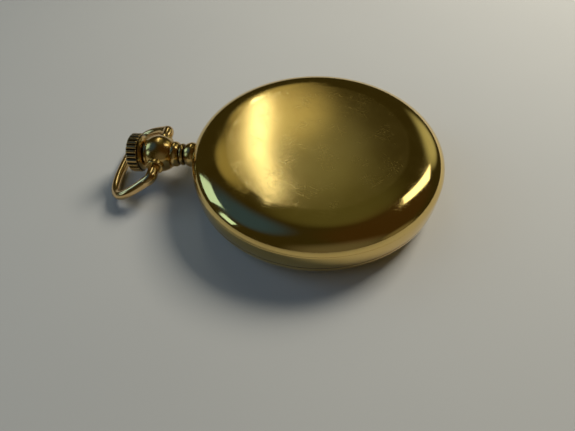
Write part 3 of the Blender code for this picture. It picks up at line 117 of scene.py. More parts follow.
def new_material(name, colour, roughness, metallic):
    """A material, its tree and its Principled shader."""
    made = bpy.data.materials.new(name)
    made.use_nodes = True
    shader = made.node_tree.nodes["Principled BSDF"]
    shader.inputs["Base Color"].default_value = (*colour, 1.0)
    shader.inputs["Roughness"].default_value = roughness
    shader.inputs["Metallic"].default_value = metallic
    return made, made.node_tree, shader


def new_group(name, inputs, outputs):
    """An empty shader node group, with its input and output nodes. Colours are given as tuples."""
    tree = bpy.data.node_groups.new(name, "ShaderNodeTree")
    for label, default in inputs:
        kind = "NodeSocketColor" if isinstance(default, tuple) else "NodeSocketFloat"
        socket = tree.interface.new_socket(label, in_out="INPUT", socket_type=kind)
        socket.default_value = (*default, 1.0) if isinstance(default, tuple) else default
    for label, kind in outputs:
        tree.interface.new_socket(label, in_out="OUTPUT", socket_type=kind)
    return tree, add_node(tree, "NodeGroupInput"), add_node(tree, "NodeGroupOutput")


def use_group(tree, group, **values):
    """A placed node group, with its inputs by name, set."""
    made = add_node(tree, "ShaderNodeGroup", node_tree=group)
    for key, value in values.items():
        socket = made.inputs[key.replace("_", " ")]
        socket.default_value = (*value, 1.0) if isinstance(value, tuple) else value
    return made


def make_mottle_group():
    """A colour that drifts softly between two shades, with a fine grain as height."""
    tree, given, out = new_group(
        "soft mottle",
        [
            ("Light", (0.8, 0.8, 0.8)),
            ("Dark", (0.7, 0.7, 0.7)),
            ("Patch Scale", 20.0),
            ("Grain Scale", 900.0),
        ],
        [("Color", "NodeSocketColor"), ("Height", "NodeSocketFloat")],
    )
    place = add_node(tree, "ShaderNodeTexCoord")
    patch = add_node(tree, "ShaderNodeTexNoise", Detail=3.0, Roughness=0.5)
    grain = add_node(tree, "ShaderNodeTexNoise", Detail=2.0)
    mix = add_node(tree, "ShaderNodeMix", data_type="RGBA")
    link = tree.links.new
    link(place.outputs["Object"], patch.inputs["Vector"])
    link(place.outputs["Object"], grain.inputs["Vector"])
    link(given.outputs["Patch Scale"], patch.inputs["Scale"])
    link(given.outputs["Grain Scale"], grain.inputs["Scale"])
    link(patch.outputs["Fac"], mix.inputs["Factor"])
    link(given.outputs["Light"], mix.inputs[6])
    link(given.outputs["Dark"], mix.inputs[7])
    link(mix.outputs[2], out.inputs["Color"])
    link(grain.outputs["Fac"], out.inputs["Height"])
    return tree


MOTTLE = make_mottle_group()


def mottled_material(name, light, dark, roughness, patch, grain, bump=0.0):
    """A plain surface in two close shades, with a fine grain where bump is given."""
    made, tree, shader = new_material(name, light, roughness, 0.0)
    mottle = use_group(tree, MOTTLE, Light=light, Dark=dark, Patch_Scale=patch, Grain_Scale=grain)
    tree.links.new(mottle.outputs["Color"], shader.inputs["Base Color"])
    if bump:
        relief = add_node(tree, "ShaderNodeBump", Strength=bump, Distance=0.02 * MM)
        tree.links.new(mottle.outputs["Height"], relief.inputs["Height"])
        tree.links.new(relief.outputs["Normal"], shader.inputs["Normal"])
    return made


def link_object(name, data):
    """An object for that data, put in the scene."""
    made = bpy.data.objects.new(name, data)
    bpy.context.scene.collection.objects.link(made)
    return made


table_mesh = bpy.data.meshes.new("table")
table_corners = [(x * TABLE_REACH, y * TABLE_REACH, 0) for x, y in ((-1, -1), (1, -1), (1, 1), (-1, 1))]
table_mesh.from_pydata(table_corners, [], [(0, 1, 2, 3)])
table = link_object("table", table_mesh)
laminate = mottled_material(
    "table laminate",
    light=(0.60, 0.60, 0.59),
    dark=(0.56, 0.56, 0.555),
    roughness=0.60,
    patch=18.0,
    grain=2500.0,
    bump=0.15,
)


def lift_far_table(tree, near, far, colour):
    """Lets the table glow in that colour far from the watch, and not at all near it."""
    link = tree.links.new
    shader = tree.nodes["Principled BSDF"]
    place = add_node(tree, "ShaderNodeTexCoord")
    length = add_node(tree, "ShaderNodeVectorMath", operation="LENGTH")
    fade = smooth_step(tree, near, far)
    glow = add_node(tree, "ShaderNodeMix", data_type="RGBA")
    glow.inputs[6].default_value = (0.0, 0.0, 0.0, 1.0)
    glow.inputs[7].default_value = (*colour, 1.0)
    link(place.outputs["Object"], length.inputs[0])
    link(length.outputs["Value"], fade.inputs["Value"])
    link(fade.outputs["Result"], glow.inputs["Factor"])
    link(glow.outputs[2], shader.inputs["Emission Color"])
    shader.inputs["Emission Strength"].default_value = 1.0


lift_far_table(laminate.node_tree, near=0.12, far=0.85, colour=(0.42, 0.41, 0.39))
table_mesh.materials.append(laminate)

# ------------------------------------------------------------------ light
# Soft boxes in a dim room, each aimed at the watch. Polished gold shows mostly what stands round it,
# so the room has pale and coloured parts of its own: a ceiling, curtains, a cupboard and two walls.
ROOM_SHADE = (0.032, 0.027, 0.008)
BACKDROP = (0.50, 0.50, 0.48)

world = bpy.data.worlds.new("room")
world.use_nodes = True
world_shader = world.node_tree.nodes["Background"]
bpy.context.scene.world = world


def toward(azimuth, elevation):
    """Unit vector for an azimuth turned from +X towards +Y, and an elevation."""
    turn, rise = math.radians(azimuth), math.radians(elevation)
    return Vector(
        (math.cos(rise) * math.cos(turn), math.cos(rise) * math.sin(turn), math.sin(rise))
    )


# Where each pale or coloured part of the room stands: azimuth, elevation, the angles over which it
# fades, and its colour.
ROOM = (
    ("ceiling over the window", 3, 44, 2, 15, (0.13, 0.14, 0.10)),
    ("glow beside the window", 10, 33, 2, 12, (0.50, 0.46, 0.26)),
    ("curtain edge", 24, 44, 2, 9, (0.26, 0.24, 0.12)),
    ("ceiling", -8, 62, 4, 20, (0.05, 0.055, 0.025)),
    ("blue curtain", 92, 56, 10, 30, (0.0, 0.042, 0.15)),
    ("lamp glow", -36, 22, 2, 16, (0.42, 0.44, 0.30)),
    ("wooden cupboard", -100, 50, 20, 45, (0.014, 0.0, 0.0)),
    ("far wall", 200, 12, 5, 45, (0.085, 0.083, 0.08)),
    ("side wall", -112, 6, 3, 18, (0.12, 0.11, 0.08)),
)


def make_room():
    """A dim room with its paler parts faded in round the watch."""
    tree = world.node_tree
    link = tree.links.new
    place = add_node(tree, "ShaderNodeTexCoord")
    total = None
    for _, azimuth, elevation, inner, outer, colour in ROOM:
        facing = add_node(tree, "ShaderNodeVectorMath", operation="DOT_PRODUCT")
        facing.inputs[1].default_value = toward(azimuth, elevation)
        fade = smooth_step(tree, math.cos(math.radians(outer)), math.cos(math.radians(inner)))
        add = add_node(tree, "ShaderNodeMix", data_type="RGBA", blend_type="ADD")
        add.inputs[7].default_value = (*colour, 1.0)
        link(place.outputs["Generated"], facing.inputs[0])
        link(facing.outputs["Value"], fade.inputs["Value"])
        link(fade.outputs["Result"], add.inputs["Factor"])
        if total is None:
            add.inputs[6].default_value = (*ROOM_SHADE, 1.0)
        else:
            link(total, add.inputs[6])
        total = add.outputs[2]
    # Seen directly, the room is one plain pale backdrop.
    direct = add_node(tree, "ShaderNodeLightPath")
    backdrop = add_node(tree, "ShaderNodeMix", data_type="RGBA")
    backdrop.inputs[7].default_value = (*BACKDROP, 1.0)
    link(direct.outputs["Is Camera Ray"], backdrop.inputs["Factor"])
    link(total, backdrop.inputs[6])
    link(backdrop.outputs[2], world_shader.inputs["Color"])


make_room()


def soft_box(name, azimuth, elevation, distance, size, power, colour, mirrored=True, lean=0.0):
    """A lamp of that width and height aimed at the watch; unless mirrored, the gold doesn't show it."""
    lamp = bpy.data.lights.new(name, "AREA")
    lamp.shape = "RECTANGLE"
    lamp.size, lamp.size_y = size
    lamp.energy = power
    lamp.color = colour
    made = link_object(name, lamp)
    away = toward(azimuth, elevation)
    made.location = away * distance
    turn = away.to_track_quat("Z", "Y").to_matrix() @ Matrix.Rotation(math.radians(lean), 3, "Z")
    made.rotation_euler = turn.to_euler()
    made.visible_glossy = mirrored


# Angles are in degrees, distances and sizes in metres, and powers in watts.
soft_box("key", -44, 43, 0.36, (0.14, 0.14), 1.03, (1.0, 0.94, 0.80), mirrored=False)
soft_box("cool fill", 112, 52, 0.80, (0.70, 0.70), 0.50, (0.60, 0.78, 1.0), mirrored=False)
soft_box("tall window, foot", 16.2, 36, 0.60, (0.042, 0.16), 0.056, (0.98, 1.0, 0.95), lean=-14)
soft_box("tall window, head", 18.4, 50, 0.60, (0.038, 0.15), 0.046, (0.98, 1.0, 0.95), lean=4)
soft_box("side window", -51, 43, 0.60, (0.11, 0.22), 0.18, (1.0, 1.0, 0.88))
soft_box("cold window", 79, 28, 0.60, (0.24, 0.24), 0.26, (0.42, 0.72, 1.0))
soft_box("cold doorway", 110, 20, 0.60, (0.14, 0.16), 0.11, (0.45, 0.75, 1.0))

# ------------------------------------------------------------------ back cover
# A spun gold shell with a nearly flat middle and a rolled shoulder. The shoulder keeps its mirror
# polish, and the middle is hazed by years of fine hairline scratches. It snaps over the case's lip.
TAU = 2 * math.pi
GAP = 0.05 * MM


def framed(length):
    """A length read from the frame, to a hundredth of a millimetre."""
    return round(length / MM, 2) * MM


back_low, back_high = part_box("back_cover")
CASE_RADIUS = framed(back_high.x)
CASE_HEIGHT = framed(back_high.z - GAP)
BAND_TOP = framed(back_low.z - GAP)
BACK_RISE = 0.7 * MM
BACK_FLAT = 18.2 * MM
BACK_WALL = 0.6 * MM
BACK_FACETS = 192
LIP_RADIUS = CASE_RADIUS - 1.7 * MM
SEAT_DEPTH = 1.1 * MM


def finish_mesh(name, bm, material, sharp=30.0):
    """The object made from bm, its normals outwards, shaded smooth but for corners sharper than that."""
    bmesh.ops.remove_doubles(bm, verts=bm.verts, dist=1e-7)
    bmesh.ops.recalc_face_normals(bm, faces=bm.faces)
    mesh = bpy.data.meshes.new(name)
    bm.to_mesh(mesh)
    bm.free()
    mesh.shade_smooth()
    mesh.set_sharp_from_angle(angle=math.radians(sharp))
    mesh.materials.append(material)
    return link_object(name, mesh)


def spun(outline, facets):
    """A closed (radius, height) outline turned about Z, with that many facets to the turn."""
    bm = bmesh.new()
    verts = [bm.verts.new((radius, 0.0, height)) for radius, height in outline]
    edges = [bm.edges.new((a, b)) for a, b in zip(verts, verts[1:] + verts[:1])]
    on_axis = [e for e in edges if all(v.co.x < 1e-9 for v in e.verts)]
    bmesh.ops.delete(bm, geom=on_axis, context="EDGES")
    bmesh.ops.spin(
        bm,
        geom=bm.verts[:] + bm.edges[:],
        cent=(0, 0, 0),
        axis=(0, 0, 1),
        angle=TAU,
        steps=facets,
        use_merge=True,
    )
    return bm


# Each set of scratches: its direction in degrees, and how fine it is across and along itself.
SCRATCH_SETS = ((24, 7800, 70), (-38, 9400, 95), (72, 6600, 60), (8, 12000, 160))


def make_scratch_group():
    """Hairline scratches in four directions: a height, and a mask of where they lie."""
    tree, given, out = new_group(
        "hairline scratches",
        [("Amount", 0.5)],
        [("Mask", "NodeSocketFloat"), ("Height", "NodeSocketFloat")],
    )
    link = tree.links.new
    place = add_node(tree, "ShaderNodeTexCoord")
    patches = add_node(tree, "ShaderNodeTexNoise", Scale=260.0, Detail=3.0)
    link(place.outputs["Object"], patches.inputs["Vector"])
    total = None
    for number, (angle, across, along) in enumerate(SCRATCH_SETS):
        turn = add_node(tree, "ShaderNodeMapping", vector_type="POINT")
        turn.inputs["Rotation"].default_value = (0.0, 0.0, math.radians(angle))
        turn.inputs["Location"].default_value = (0.011 * number, 0.007 * number, 0.0)
        stretch = add_node(tree, "ShaderNodeMapping", vector_type="POINT")
        stretch.inputs["Scale"].default_value = (across, along, across)
        lines = add_node(tree, "ShaderNodeTexNoise", Scale=1.0, Detail=2.0, Roughness=0.6)
        thin = smooth_step(tree, 0.58, 0.72)
        link(place.outputs["Object"], turn.inputs["Vector"])
        link(turn.outputs["Vector"], stretch.inputs["Vector"])
        link(stretch.outputs["Vector"], lines.inputs["Vector"])
        link(lines.outputs["Fac"], thin.inputs["Value"])
        if total is None:
            total = thin.outputs["Result"]
        else:
            both = add_node(tree, "ShaderNodeMath", operation="MAXIMUM")
            link(total, both.inputs[0])
            link(thin.outputs["Result"], both.inputs[1])
            total = both.outputs["Value"]
    gate = smooth_step(tree, 0.35, 0.65)
    link(patches.outputs["Fac"], gate.inputs["Value"])
    worn = add_node(tree, "ShaderNodeMath", operation="MULTIPLY")
    link(total, worn.inputs[0])
    link(gate.outputs["Result"], worn.inputs[1])
    amount = add_node(tree, "ShaderNodeMath", operation="MULTIPLY")
    link(worn.outputs["Value"], amount.inputs[0])
    link(given.outputs["Amount"], amount.inputs[1])
    down = add_node(tree, "ShaderNodeMath", operation="MULTIPLY")
    down.inputs[1].default_value = -1.0
    link(amount.outputs["Value"], down.inputs[0])
    link(amount.outputs["Value"], out.inputs["Mask"])
    link(down.outputs["Value"], out.inputs["Height"])
    return tree


SCRATCHES = make_scratch_group()


def make_handled_group():
    """Roughness of handled polish: a base, more in cloudy patches and more again along scratches."""
    tree, given, out = new_group(
        "handled polish",
        [("Polish", 0.08), ("Cloud", 0.05), ("Scratch", 0.2), ("Mask", 0.0)],
        [("Roughness", "NodeSocketFloat"), ("Cloud", "NodeSocketFloat")],
    )
    link = tree.links.new
    place = add_node(tree, "ShaderNodeTexCoord")
    cloud = add_node(tree, "ShaderNodeTexNoise", Scale=170.0, Detail=5.0, Roughness=0.6)
    link(place.outputs["Object"], cloud.inputs["Vector"])
    cloudy = add_node(tree, "ShaderNodeMath", operation="MULTIPLY_ADD")
    link(cloud.outputs["Fac"], cloudy.inputs[0])
    link(given.outputs["Cloud"], cloudy.inputs[1])
    link(given.outputs["Polish"], cloudy.inputs[2])
    scratched = add_node(tree, "ShaderNodeMath", operation="MULTIPLY_ADD")
    link(given.outputs["Mask"], scratched.inputs[0])
    link(given.outputs["Scratch"], scratched.inputs[1])
    link(cloudy.outputs["Value"], scratched.inputs[2])
    link(scratched.outputs["Value"], out.inputs["Roughness"])
    link(cloud.outputs["Fac"], out.inputs["Cloud"])
    return tree


HANDLED = make_handled_group()


def make_middle_group():
    """1 over the nearly flat middle of the back and 0 over its shoulder."""
    tree, given, out = new_group(
        "flat middle", [("Radius", 0.0195), ("Edge", 0.0006)], [("Mask", "NodeSocketFloat")]
    )
    link = tree.links.new
    place = add_node(tree, "ShaderNodeTexCoord")
    flat = add_node(tree, "ShaderNodeVectorMath", operation="MULTIPLY")
    flat.inputs[1].default_value = (1.0, 1.0, 0.0)
    length = add_node(tree, "ShaderNodeVectorMath", operation="LENGTH")
    low = add_node(tree, "ShaderNodeMath", operation="SUBTRACT")
    step = add_node(tree, "ShaderNodeMapRange", interpolation_type="SMOOTHSTEP")
    step.inputs["To Min"].default_value = 1.0
    step.inputs["To Max"].default_value = 0.0
    link(place.outputs["Object"], flat.inputs[0])
    link(flat.outputs["Vector"], length.inputs[0])
    link(given.outputs["Radius"], low.inputs[0])
    link(given.outputs["Edge"], low.inputs[1])
    link(length.outputs["Value"], step.inputs["Value"])
    link(low.outputs["Value"], step.inputs["From Min"])
    link(given.outputs["Radius"], step.inputs["From Max"])
    link(step.outputs["Result"], out.inputs["Mask"])
    return tree


def worn_metal(name, colour, shade, polish, cloud, scratch, amount, depth=0.001 * MM):
    """Polished metal with cloudy handling marks and hairline scratches, its tree and its shader."""
    made, tree, shader = new_material(name, colour, polish, 1.0)
    link = tree.links.new
    lines = use_group(tree, SCRATCHES, Amount=amount)
    marks = use_group(tree, HANDLED, Polish=polish, Cloud=cloud, Scratch=scratch)
    link(lines.outputs["Mask"], marks.inputs["Mask"])
    tint = add_node(tree, "ShaderNodeMix", data_type="RGBA")
    tint.inputs[6].default_value = (*shade, 1.0)
    tint.inputs[7].default_value = (*colour, 1.0)
    link(marks.outputs["Cloud"], tint.inputs["Factor"])
    link(tint.outputs[2], shader.inputs["Base Color"])
    link(marks.outputs["Roughness"], shader.inputs["Roughness"])
    relief = add_node(tree, "ShaderNodeBump", Strength=1.0, Distance=depth)
    link(lines.outputs["Height"], relief.inputs["Height"])
    link(relief.outputs["Normal"], shader.inputs["Normal"])
    return made, tree, shader


GOLD = (0.86, 0.64, 0.24)
GOLD_SHADE = (0.76, 0.53, 0.17)
back_gold, back_tree, back_shader = worn_metal(
    "back gold", GOLD, GOLD_SHADE, polish=0.05, cloud=0.06, scratch=0.14, amount=0.9, depth=0.0014 * MM
)


def haze_the_middle(more, edge):
    """Makes the back's middle that much rougher, fading in over that edge."""
    link = back_tree.links.new
    middle = use_group(back_tree, make_middle_group(), Radius=BACK_FLAT, Edge=edge)
    marks = next(n for n in back_tree.nodes if n.type == "GROUP" and n.node_tree == HANDLED)
    haze = add_node(back_tree, "ShaderNodeMath", operation="MULTIPLY_ADD")
    haze.inputs[1].default_value = more
    link(middle.outputs["Mask"], haze.inputs[0])
    link(marks.outputs["Roughness"], haze.inputs[2])
    link(haze.outputs["Value"], back_shader.inputs["Roughness"])


haze_the_middle(more=0.10, edge=0.9 * MM)


def back_height(radius):
    """Height of the back's outer face: a shallow dome, and then a shoulder rolled down to the band."""
    edge_height = CASE_HEIGHT - BACK_RISE
    if radius <= BACK_FLAT:
        return CASE_HEIGHT - BACK_RISE * (radius / BACK_FLAT) ** 2
    width = CASE_RADIUS - BACK_FLAT
    share = (radius - BACK_FLAT) / width
    eased = 2 * BACK_RISE / BACK_FLAT * width * share * (1 - share) ** 2
    return BAND_TOP + (edge_height - BAND_TOP) * (1 - share**2.3) ** (1 / 1.9) - eased


def inward(points, depth):
    """The outline moved square to itself, towards the inside of the case."""
    moved = []
    for i, (r, z) in enumerate(points):
        before, after = points[max(i - 1, 0)], points[min(i + 1, len(points) - 1)]
        along = Vector((after[0] - before[0], after[1] - before[1])).normalized()
        moved.append((max(r + along.y * depth, 0.0), z - along.x * depth))
    return moved


def make_back():
    """The shell: its outer face, a softened rim, the seat that snaps over the lip, and the inside."""
    flat = [BACK_FLAT * i / 24 for i in range(25)]
    width = CASE_RADIUS - BACK_FLAT
    shoulder = [CASE_RADIUS - width * (1 - math.sin(math.pi / 2 * i / 28)) for i in range(1, 29)]
    outside = [(r, back_height(r) + GAP) for r in flat + shoulder]
    rim = LIP_RADIUS + GAP
    seat = BAND_TOP + SEAT_DEPTH
    inside = [p for p in inward(outside, BACK_WALL)[::2] if p[0] < rim - GAP and p[1] > seat + GAP]
    inside[0] = (0.0, inside[0][1])
    soft_edge = [(CASE_RADIUS - 0.06 * MM, BAND_TOP + GAP), (rim, BAND_TOP + GAP)]
    outline = outside[:-1] + [(CASE_RADIUS, BAND_TOP + GAP + 0.08 * MM)] + soft_edge
    outline += [(rim, seat), (inside[-1][0], seat)] + inside[::-1]
    return finish_mesh("back_cover_shell", spun(outline, BACK_FACETS), back_gold)


back = make_back()
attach(back, "back")
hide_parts("back_cover")

# ------------------------------------------------------------------ case centre
# The turned gold ring that everything is built on. The back and the bezel snap over its lips, and a
# fine groove shows where each one meets it.
band_gold, _, _ = worn_metal(
    "band gold", GOLD, GOLD_SHADE, polish=0.06, cloud=0.05, scratch=0.12, amount=0.6, depth=0.0008 * MM
)
JOINT_PLACE = {joint["name"]: joint.get("pos_m") for joint in frame["joints"]}
STEM_HEIGHT = framed(JOINT_PLACE["bow_swing"][2])
ALONG_PENDANT = Matrix.Rotation(-math.pi / 2, 4, "X")
BAND_BOTTOM = framed(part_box("bezel")[1].z + GAP)
CASE_FACETS = 144
LIP_WALL, LIP_HEIGHT = 1.2 * MM, 1.0 * MM
MOVEMENT_BORE, LEDGE_BORE = 21.1 * MM, 20.5 * MM
LEDGE_LOW, LEDGE_HIGH = 6.05 * MM, 6.6 * MM
STEM_HOLE = 1.5 * MM


def rounded(outline, radius, steps):
    """The outline with its corners rounded, none by more than a third of its shorter side."""
    out = []
    count = len(outline)
    for i, corner in enumerate(outline):
        here = Vector(corner)
        before, after = Vector(outline[i - 1]), Vector(outline[(i + 1) % count])
        to_before, to_after = before - here, after - here
        if here.x < 1e-9 or to_before.angle(to_after) > math.radians(165):
            out.append(tuple(here))
            continue
        inset = min(radius, to_before.length / 3, to_after.length / 3)
        start, end = here + to_before.normalized() * inset, here + to_after.normalized() * inset
        for step in range(steps + 1):
            t = step / steps
            point = start * (1 - t) ** 2 + here * 2 * t * (1 - t) + end * t**2
            out.append(tuple(point))
    return out


def cut(obj, tools, operation="DIFFERENCE"):
    """Cuts the tools from obj, or joins them to it, and keeps only the result."""
    for tool in tools:
        change = obj.modifiers.new("change", "BOOLEAN")
        change.operation = operation
        change.object = tool
        change.solver = "EXACT"
    made = bpy.data.meshes.new_from_object(obj.evaluated_get(bpy.context.evaluated_depsgraph_get()))
    obj.modifiers.clear()
    obj.data = made
    for tool in tools:
        bpy.data.objects.remove(tool, do_unlink=True)
    made.shade_smooth()
    made.set_sharp_from_angle(angle=math.radians(30))


def to_pendant(bm, y=0.0):
    """Lays a piece spun about Z along the pendant, its foot at that distance from the middle."""
    bm.transform(Matrix.Translation((0.0, y, STEM_HEIGHT)) @ ALONG_PENDANT)
    return bm


def rod(radius, start, end):
    """A round bar along Z."""
    return spun([(0.0, start), (radius, start), (radius, end), (0.0, end)], 48)


def make_band():
    """The ring: a lip below and above for the bezel and the back, and the ledge for the movement."""
    lip_inner = LIP_RADIUS - LIP_WALL
    outline = [
        (lip_inner, BAND_BOTTOM - LIP_HEIGHT),
        (LIP_RADIUS, BAND_BOTTOM - LIP_HEIGHT),
        (LIP_RADIUS, BAND_BOTTOM),
        (CASE_RADIUS - 0.12 * MM, BAND_BOTTOM),
        (CASE_RADIUS - 0.02 * MM, BAND_BOTTOM + 0.4 * MM),
        (CASE_RADIUS, (BAND_BOTTOM + BAND_TOP) / 2),
        (CASE_RADIUS - 0.01 * MM, BAND_TOP - 0.3 * MM),
        (CASE_RADIUS - 0.04 * MM, BAND_TOP),
        (LIP_RADIUS, BAND_TOP),
        (LIP_RADIUS, BAND_TOP + LIP_HEIGHT),
        (lip_inner, BAND_TOP + LIP_HEIGHT),
        (MOVEMENT_BORE, LEDGE_HIGH),
        (LEDGE_BORE, LEDGE_HIGH),
        (LEDGE_BORE, LEDGE_LOW),
        (MOVEMENT_BORE, LEDGE_LOW),
        (MOVEMENT_BORE, BAND_BOTTOM),
    ]
    band = finish_mesh("case_band", spun(rounded(outline, 0.08 * MM, 2), CASE_FACETS), band_gold)
    bore = finish_mesh("bore", to_pendant(rod(STEM_HOLE, 19.0 * MM, 27.0 * MM)), band_gold)
    cut(band, [bore])
    return band


band = make_band()
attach(band, "case")
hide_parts("case_centre")


# ------------------------------------------------------------------ bezel
# The rounded gold ring that holds the crystal. It is turned with a seat inside, and it snaps over
# the case's lower lip from the dial side.
CRYSTAL_EDGE = framed(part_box("crystal")[1].x)


def make_bezel():
    """The ring: its rolled outside, the crystal's seat in the mouth, and the seat for the lip."""
    mouth, low = CRYSTAL_EDGE + GAP, 0.75 * MM
    outside = []
    for i in range(25):
        turn = math.pi / 2 * i / 24
        radius = CASE_RADIUS - 0.12 * MM - (CASE_RADIUS - mouth - 0.9 * MM) * (1 - math.cos(turn))
        outside.append((radius, BAND_BOTTOM - GAP - (BAND_BOTTOM - low) * math.sin(turn)))
    rim, seat, shelf = LIP_RADIUS + GAP, BAND_BOTTOM - SEAT_DEPTH, low + 1.4 * MM
    outline = [(rim, BAND_BOTTOM - GAP), *outside, (mouth + 0.08 * MM, low), (mouth, low + 0.1 * MM)]
    outline += [(mouth, shelf), (mouth + 0.5 * MM, shelf), (rim - 0.5 * MM, seat), (rim, seat)]
    return finish_mesh("bezel_ring", spun(outline, CASE_FACETS), band_gold)


bezel = make_bezel()
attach(bezel, "case")
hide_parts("bezel")

# ------------------------------------------------------------------ crystal
# Mineral glass with a flat middle and a curved-up edge, ground to size and pressed into the bezel.
# It carries faint wear.
crystal_glass, crystal_tree, crystal_shader = new_material("crystal glass", (0.97, 0.99, 0.98), 0.02, 0.0)
crystal_shader.inputs["Transmission Weight"].default_value = 1.0
crystal_shader.inputs["IOR"].default_value = 1.5
crystal_wear = use_group(crystal_tree, SCRATCHES, Amount=0.3)
crystal_marks = use_group(crystal_tree, HANDLED, Polish=0.015, Cloud=0.02, Scratch=0.15)
crystal_tree.links.new(crystal_wear.outputs["Mask"], crystal_marks.inputs["Mask"])
crystal_tree.links.new(crystal_marks.outputs["Roughness"], crystal_shader.inputs["Roughness"])


def make_crystal():
    """The glass: flat under the dial, then curving up to its edge."""
    flat, edge, rise, thick = 15.0 * MM, CRYSTAL_EDGE, 1.0 * MM, 0.9 * MM
    lower = [(0.0, 0.0), (flat * 0.5, 0.0)]
    lower += [(flat + (edge - flat) * i / 16, rise * (i / 16) ** 2) for i in range(17)]
    upper = [(max(r - 0.15 * MM, 0.0), z + thick) for r, z in lower]
    rim = [(edge, rise + thick - 0.1 * MM), (edge - 0.06 * MM, rise + thick)]
    return finish_mesh("crystal_glass", spun(lower + rim + upper[::-1], CASE_FACETS), crystal_glass)


crystal = make_crystal()
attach(crystal, "case")
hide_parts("crystal")

# ------------------------------------------------------------------ pendant
# The turned neck, soldered into the case: a collar, two fine rings, a taper, and a ball drilled
# through a boss on each side for the bow. Painted shade darkens its grooves.
pendant_gold, pendant_tree, pendant_shader = worn_metal(
    "pendant gold", (0.84, 0.60, 0.23), (0.60, 0.38, 0.12), polish=0.16, cloud=0.08, scratch=0.12, amount=0.8
)
pendant_low, pendant_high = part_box("pendant")
PENDANT_FOOT, PENDANT_TOP = framed(pendant_low.y), framed(pendant_high.y)
PIVOT_Y = framed(JOINT_PLACE["bow_swing"][1])
BALL_RADIUS = 3.8 * MM
BOSS_RADIUS, BOSS_FOOT, BOSS_END = 1.75 * MM, 2.6 * MM, framed(pendant_high.x)
PIVOT_HOLE = 1.0 * MM
SLEEVE_BORE, SLEEVE_START, STEM_BORE = 1.55 * MM, 28.95 * MM, 1.0 * MM
GROOVE_RADIUS = 1.98 * MM


def make_valley_group():
    """1 at the deep radius from the stem's line, falling to 0 at the proud one and nearer the line."""
    tree, given, out = new_group(
        "painted valley shade", [("Deep", 0.0037), ("Proud", 0.00395)], [("Mask", "NodeSocketFloat")]
    )
    link = tree.links.new
    place = add_node(tree, "ShaderNodeTexCoord")
    centre = add_node(tree, "ShaderNodeVectorMath", operation="SUBTRACT")
    centre.inputs[1].default_value = (0.0, 0.0, STEM_HEIGHT)
    flat = add_node(tree, "ShaderNodeVectorMath", operation="MULTIPLY")
    flat.inputs[1].default_value = (1.0, 0.0, 1.0)
    length = add_node(tree, "ShaderNodeVectorMath", operation="LENGTH")
    fall = add_node(tree, "ShaderNodeMapRange", interpolation_type="SMOOTHSTEP")
    fall.inputs["To Min"].default_value = 1.0
    fall.inputs["To Max"].default_value = 0.0
    link(place.outputs["Object"], centre.inputs[0])
    link(centre.outputs["Vector"], flat.inputs[0])
    link(flat.outputs["Vector"], length.inputs[0])
    link(length.outputs["Value"], fall.inputs["Value"])
    link(given.outputs["Deep"], fall.inputs["From Min"])
    link(given.outputs["Proud"], fall.inputs["From Max"])
    rise = add_node(tree, "ShaderNodeMapRange", interpolation_type="SMOOTHSTEP")
    start = add_node(tree, "ShaderNodeMath", operation="MULTIPLY")
    start.inputs[1].default_value = 0.94
    both = add_node(tree, "ShaderNodeMath", operation="MULTIPLY")
    link(given.outputs["Deep"], start.inputs[0])
    link(start.outputs["Value"], rise.inputs["From Min"])
    link(given.outputs["Deep"], rise.inputs["From Max"])
    link(length.outputs["Value"], rise.inputs["Value"])
    link(rise.outputs["Result"], both.inputs[0])
    link(fall.outputs["Result"], both.inputs[1])
    link(both.outputs["Value"], out.inputs["Mask"])
    return tree


VALLEY_SHADE = make_valley_group()


def dirty_valleys(tree, shader, deep, proud, shade_colour):
    """Mixes painted shade into the base colour where the surface lies near the stem's line."""
    valley = use_group(tree, VALLEY_SHADE, Deep=deep, Proud=proud)
    mix = add_node(tree, "ShaderNodeMix", data_type="RGBA")
    mix.inputs[7].default_value = (*shade_colour, 1.0)
    tree.links.new(shader.inputs["Base Color"].links[0].from_socket, mix.inputs[6])
    tree.links.new(valley.outputs["Mask"], mix.inputs["Factor"])
    tree.links.new(mix.outputs[2], shader.inputs["Base Color"])


def smooth_curve(points, per_span=6):
    """A Catmull-Rom curve through the points."""
    ends = [Vector(p) for p in points]
    ends = [ends[0] * 2 - ends[1], *ends, ends[-1] * 2 - ends[-2]]
    out = []
    for a, b, c, d in zip(ends, ends[1:], ends[2:], ends[3:]):
        for step in range(per_span):
            t = step / per_span
            bend, sway = 2 * a - 5 * b + 4 * c - d, 3 * b - a - 3 * c + d
            out.append(0.5 * (2 * b + (c - a) * t + bend * t**2 + sway * t**3))
    return [tuple(p) for p in out] + [tuple(ends[-2])]


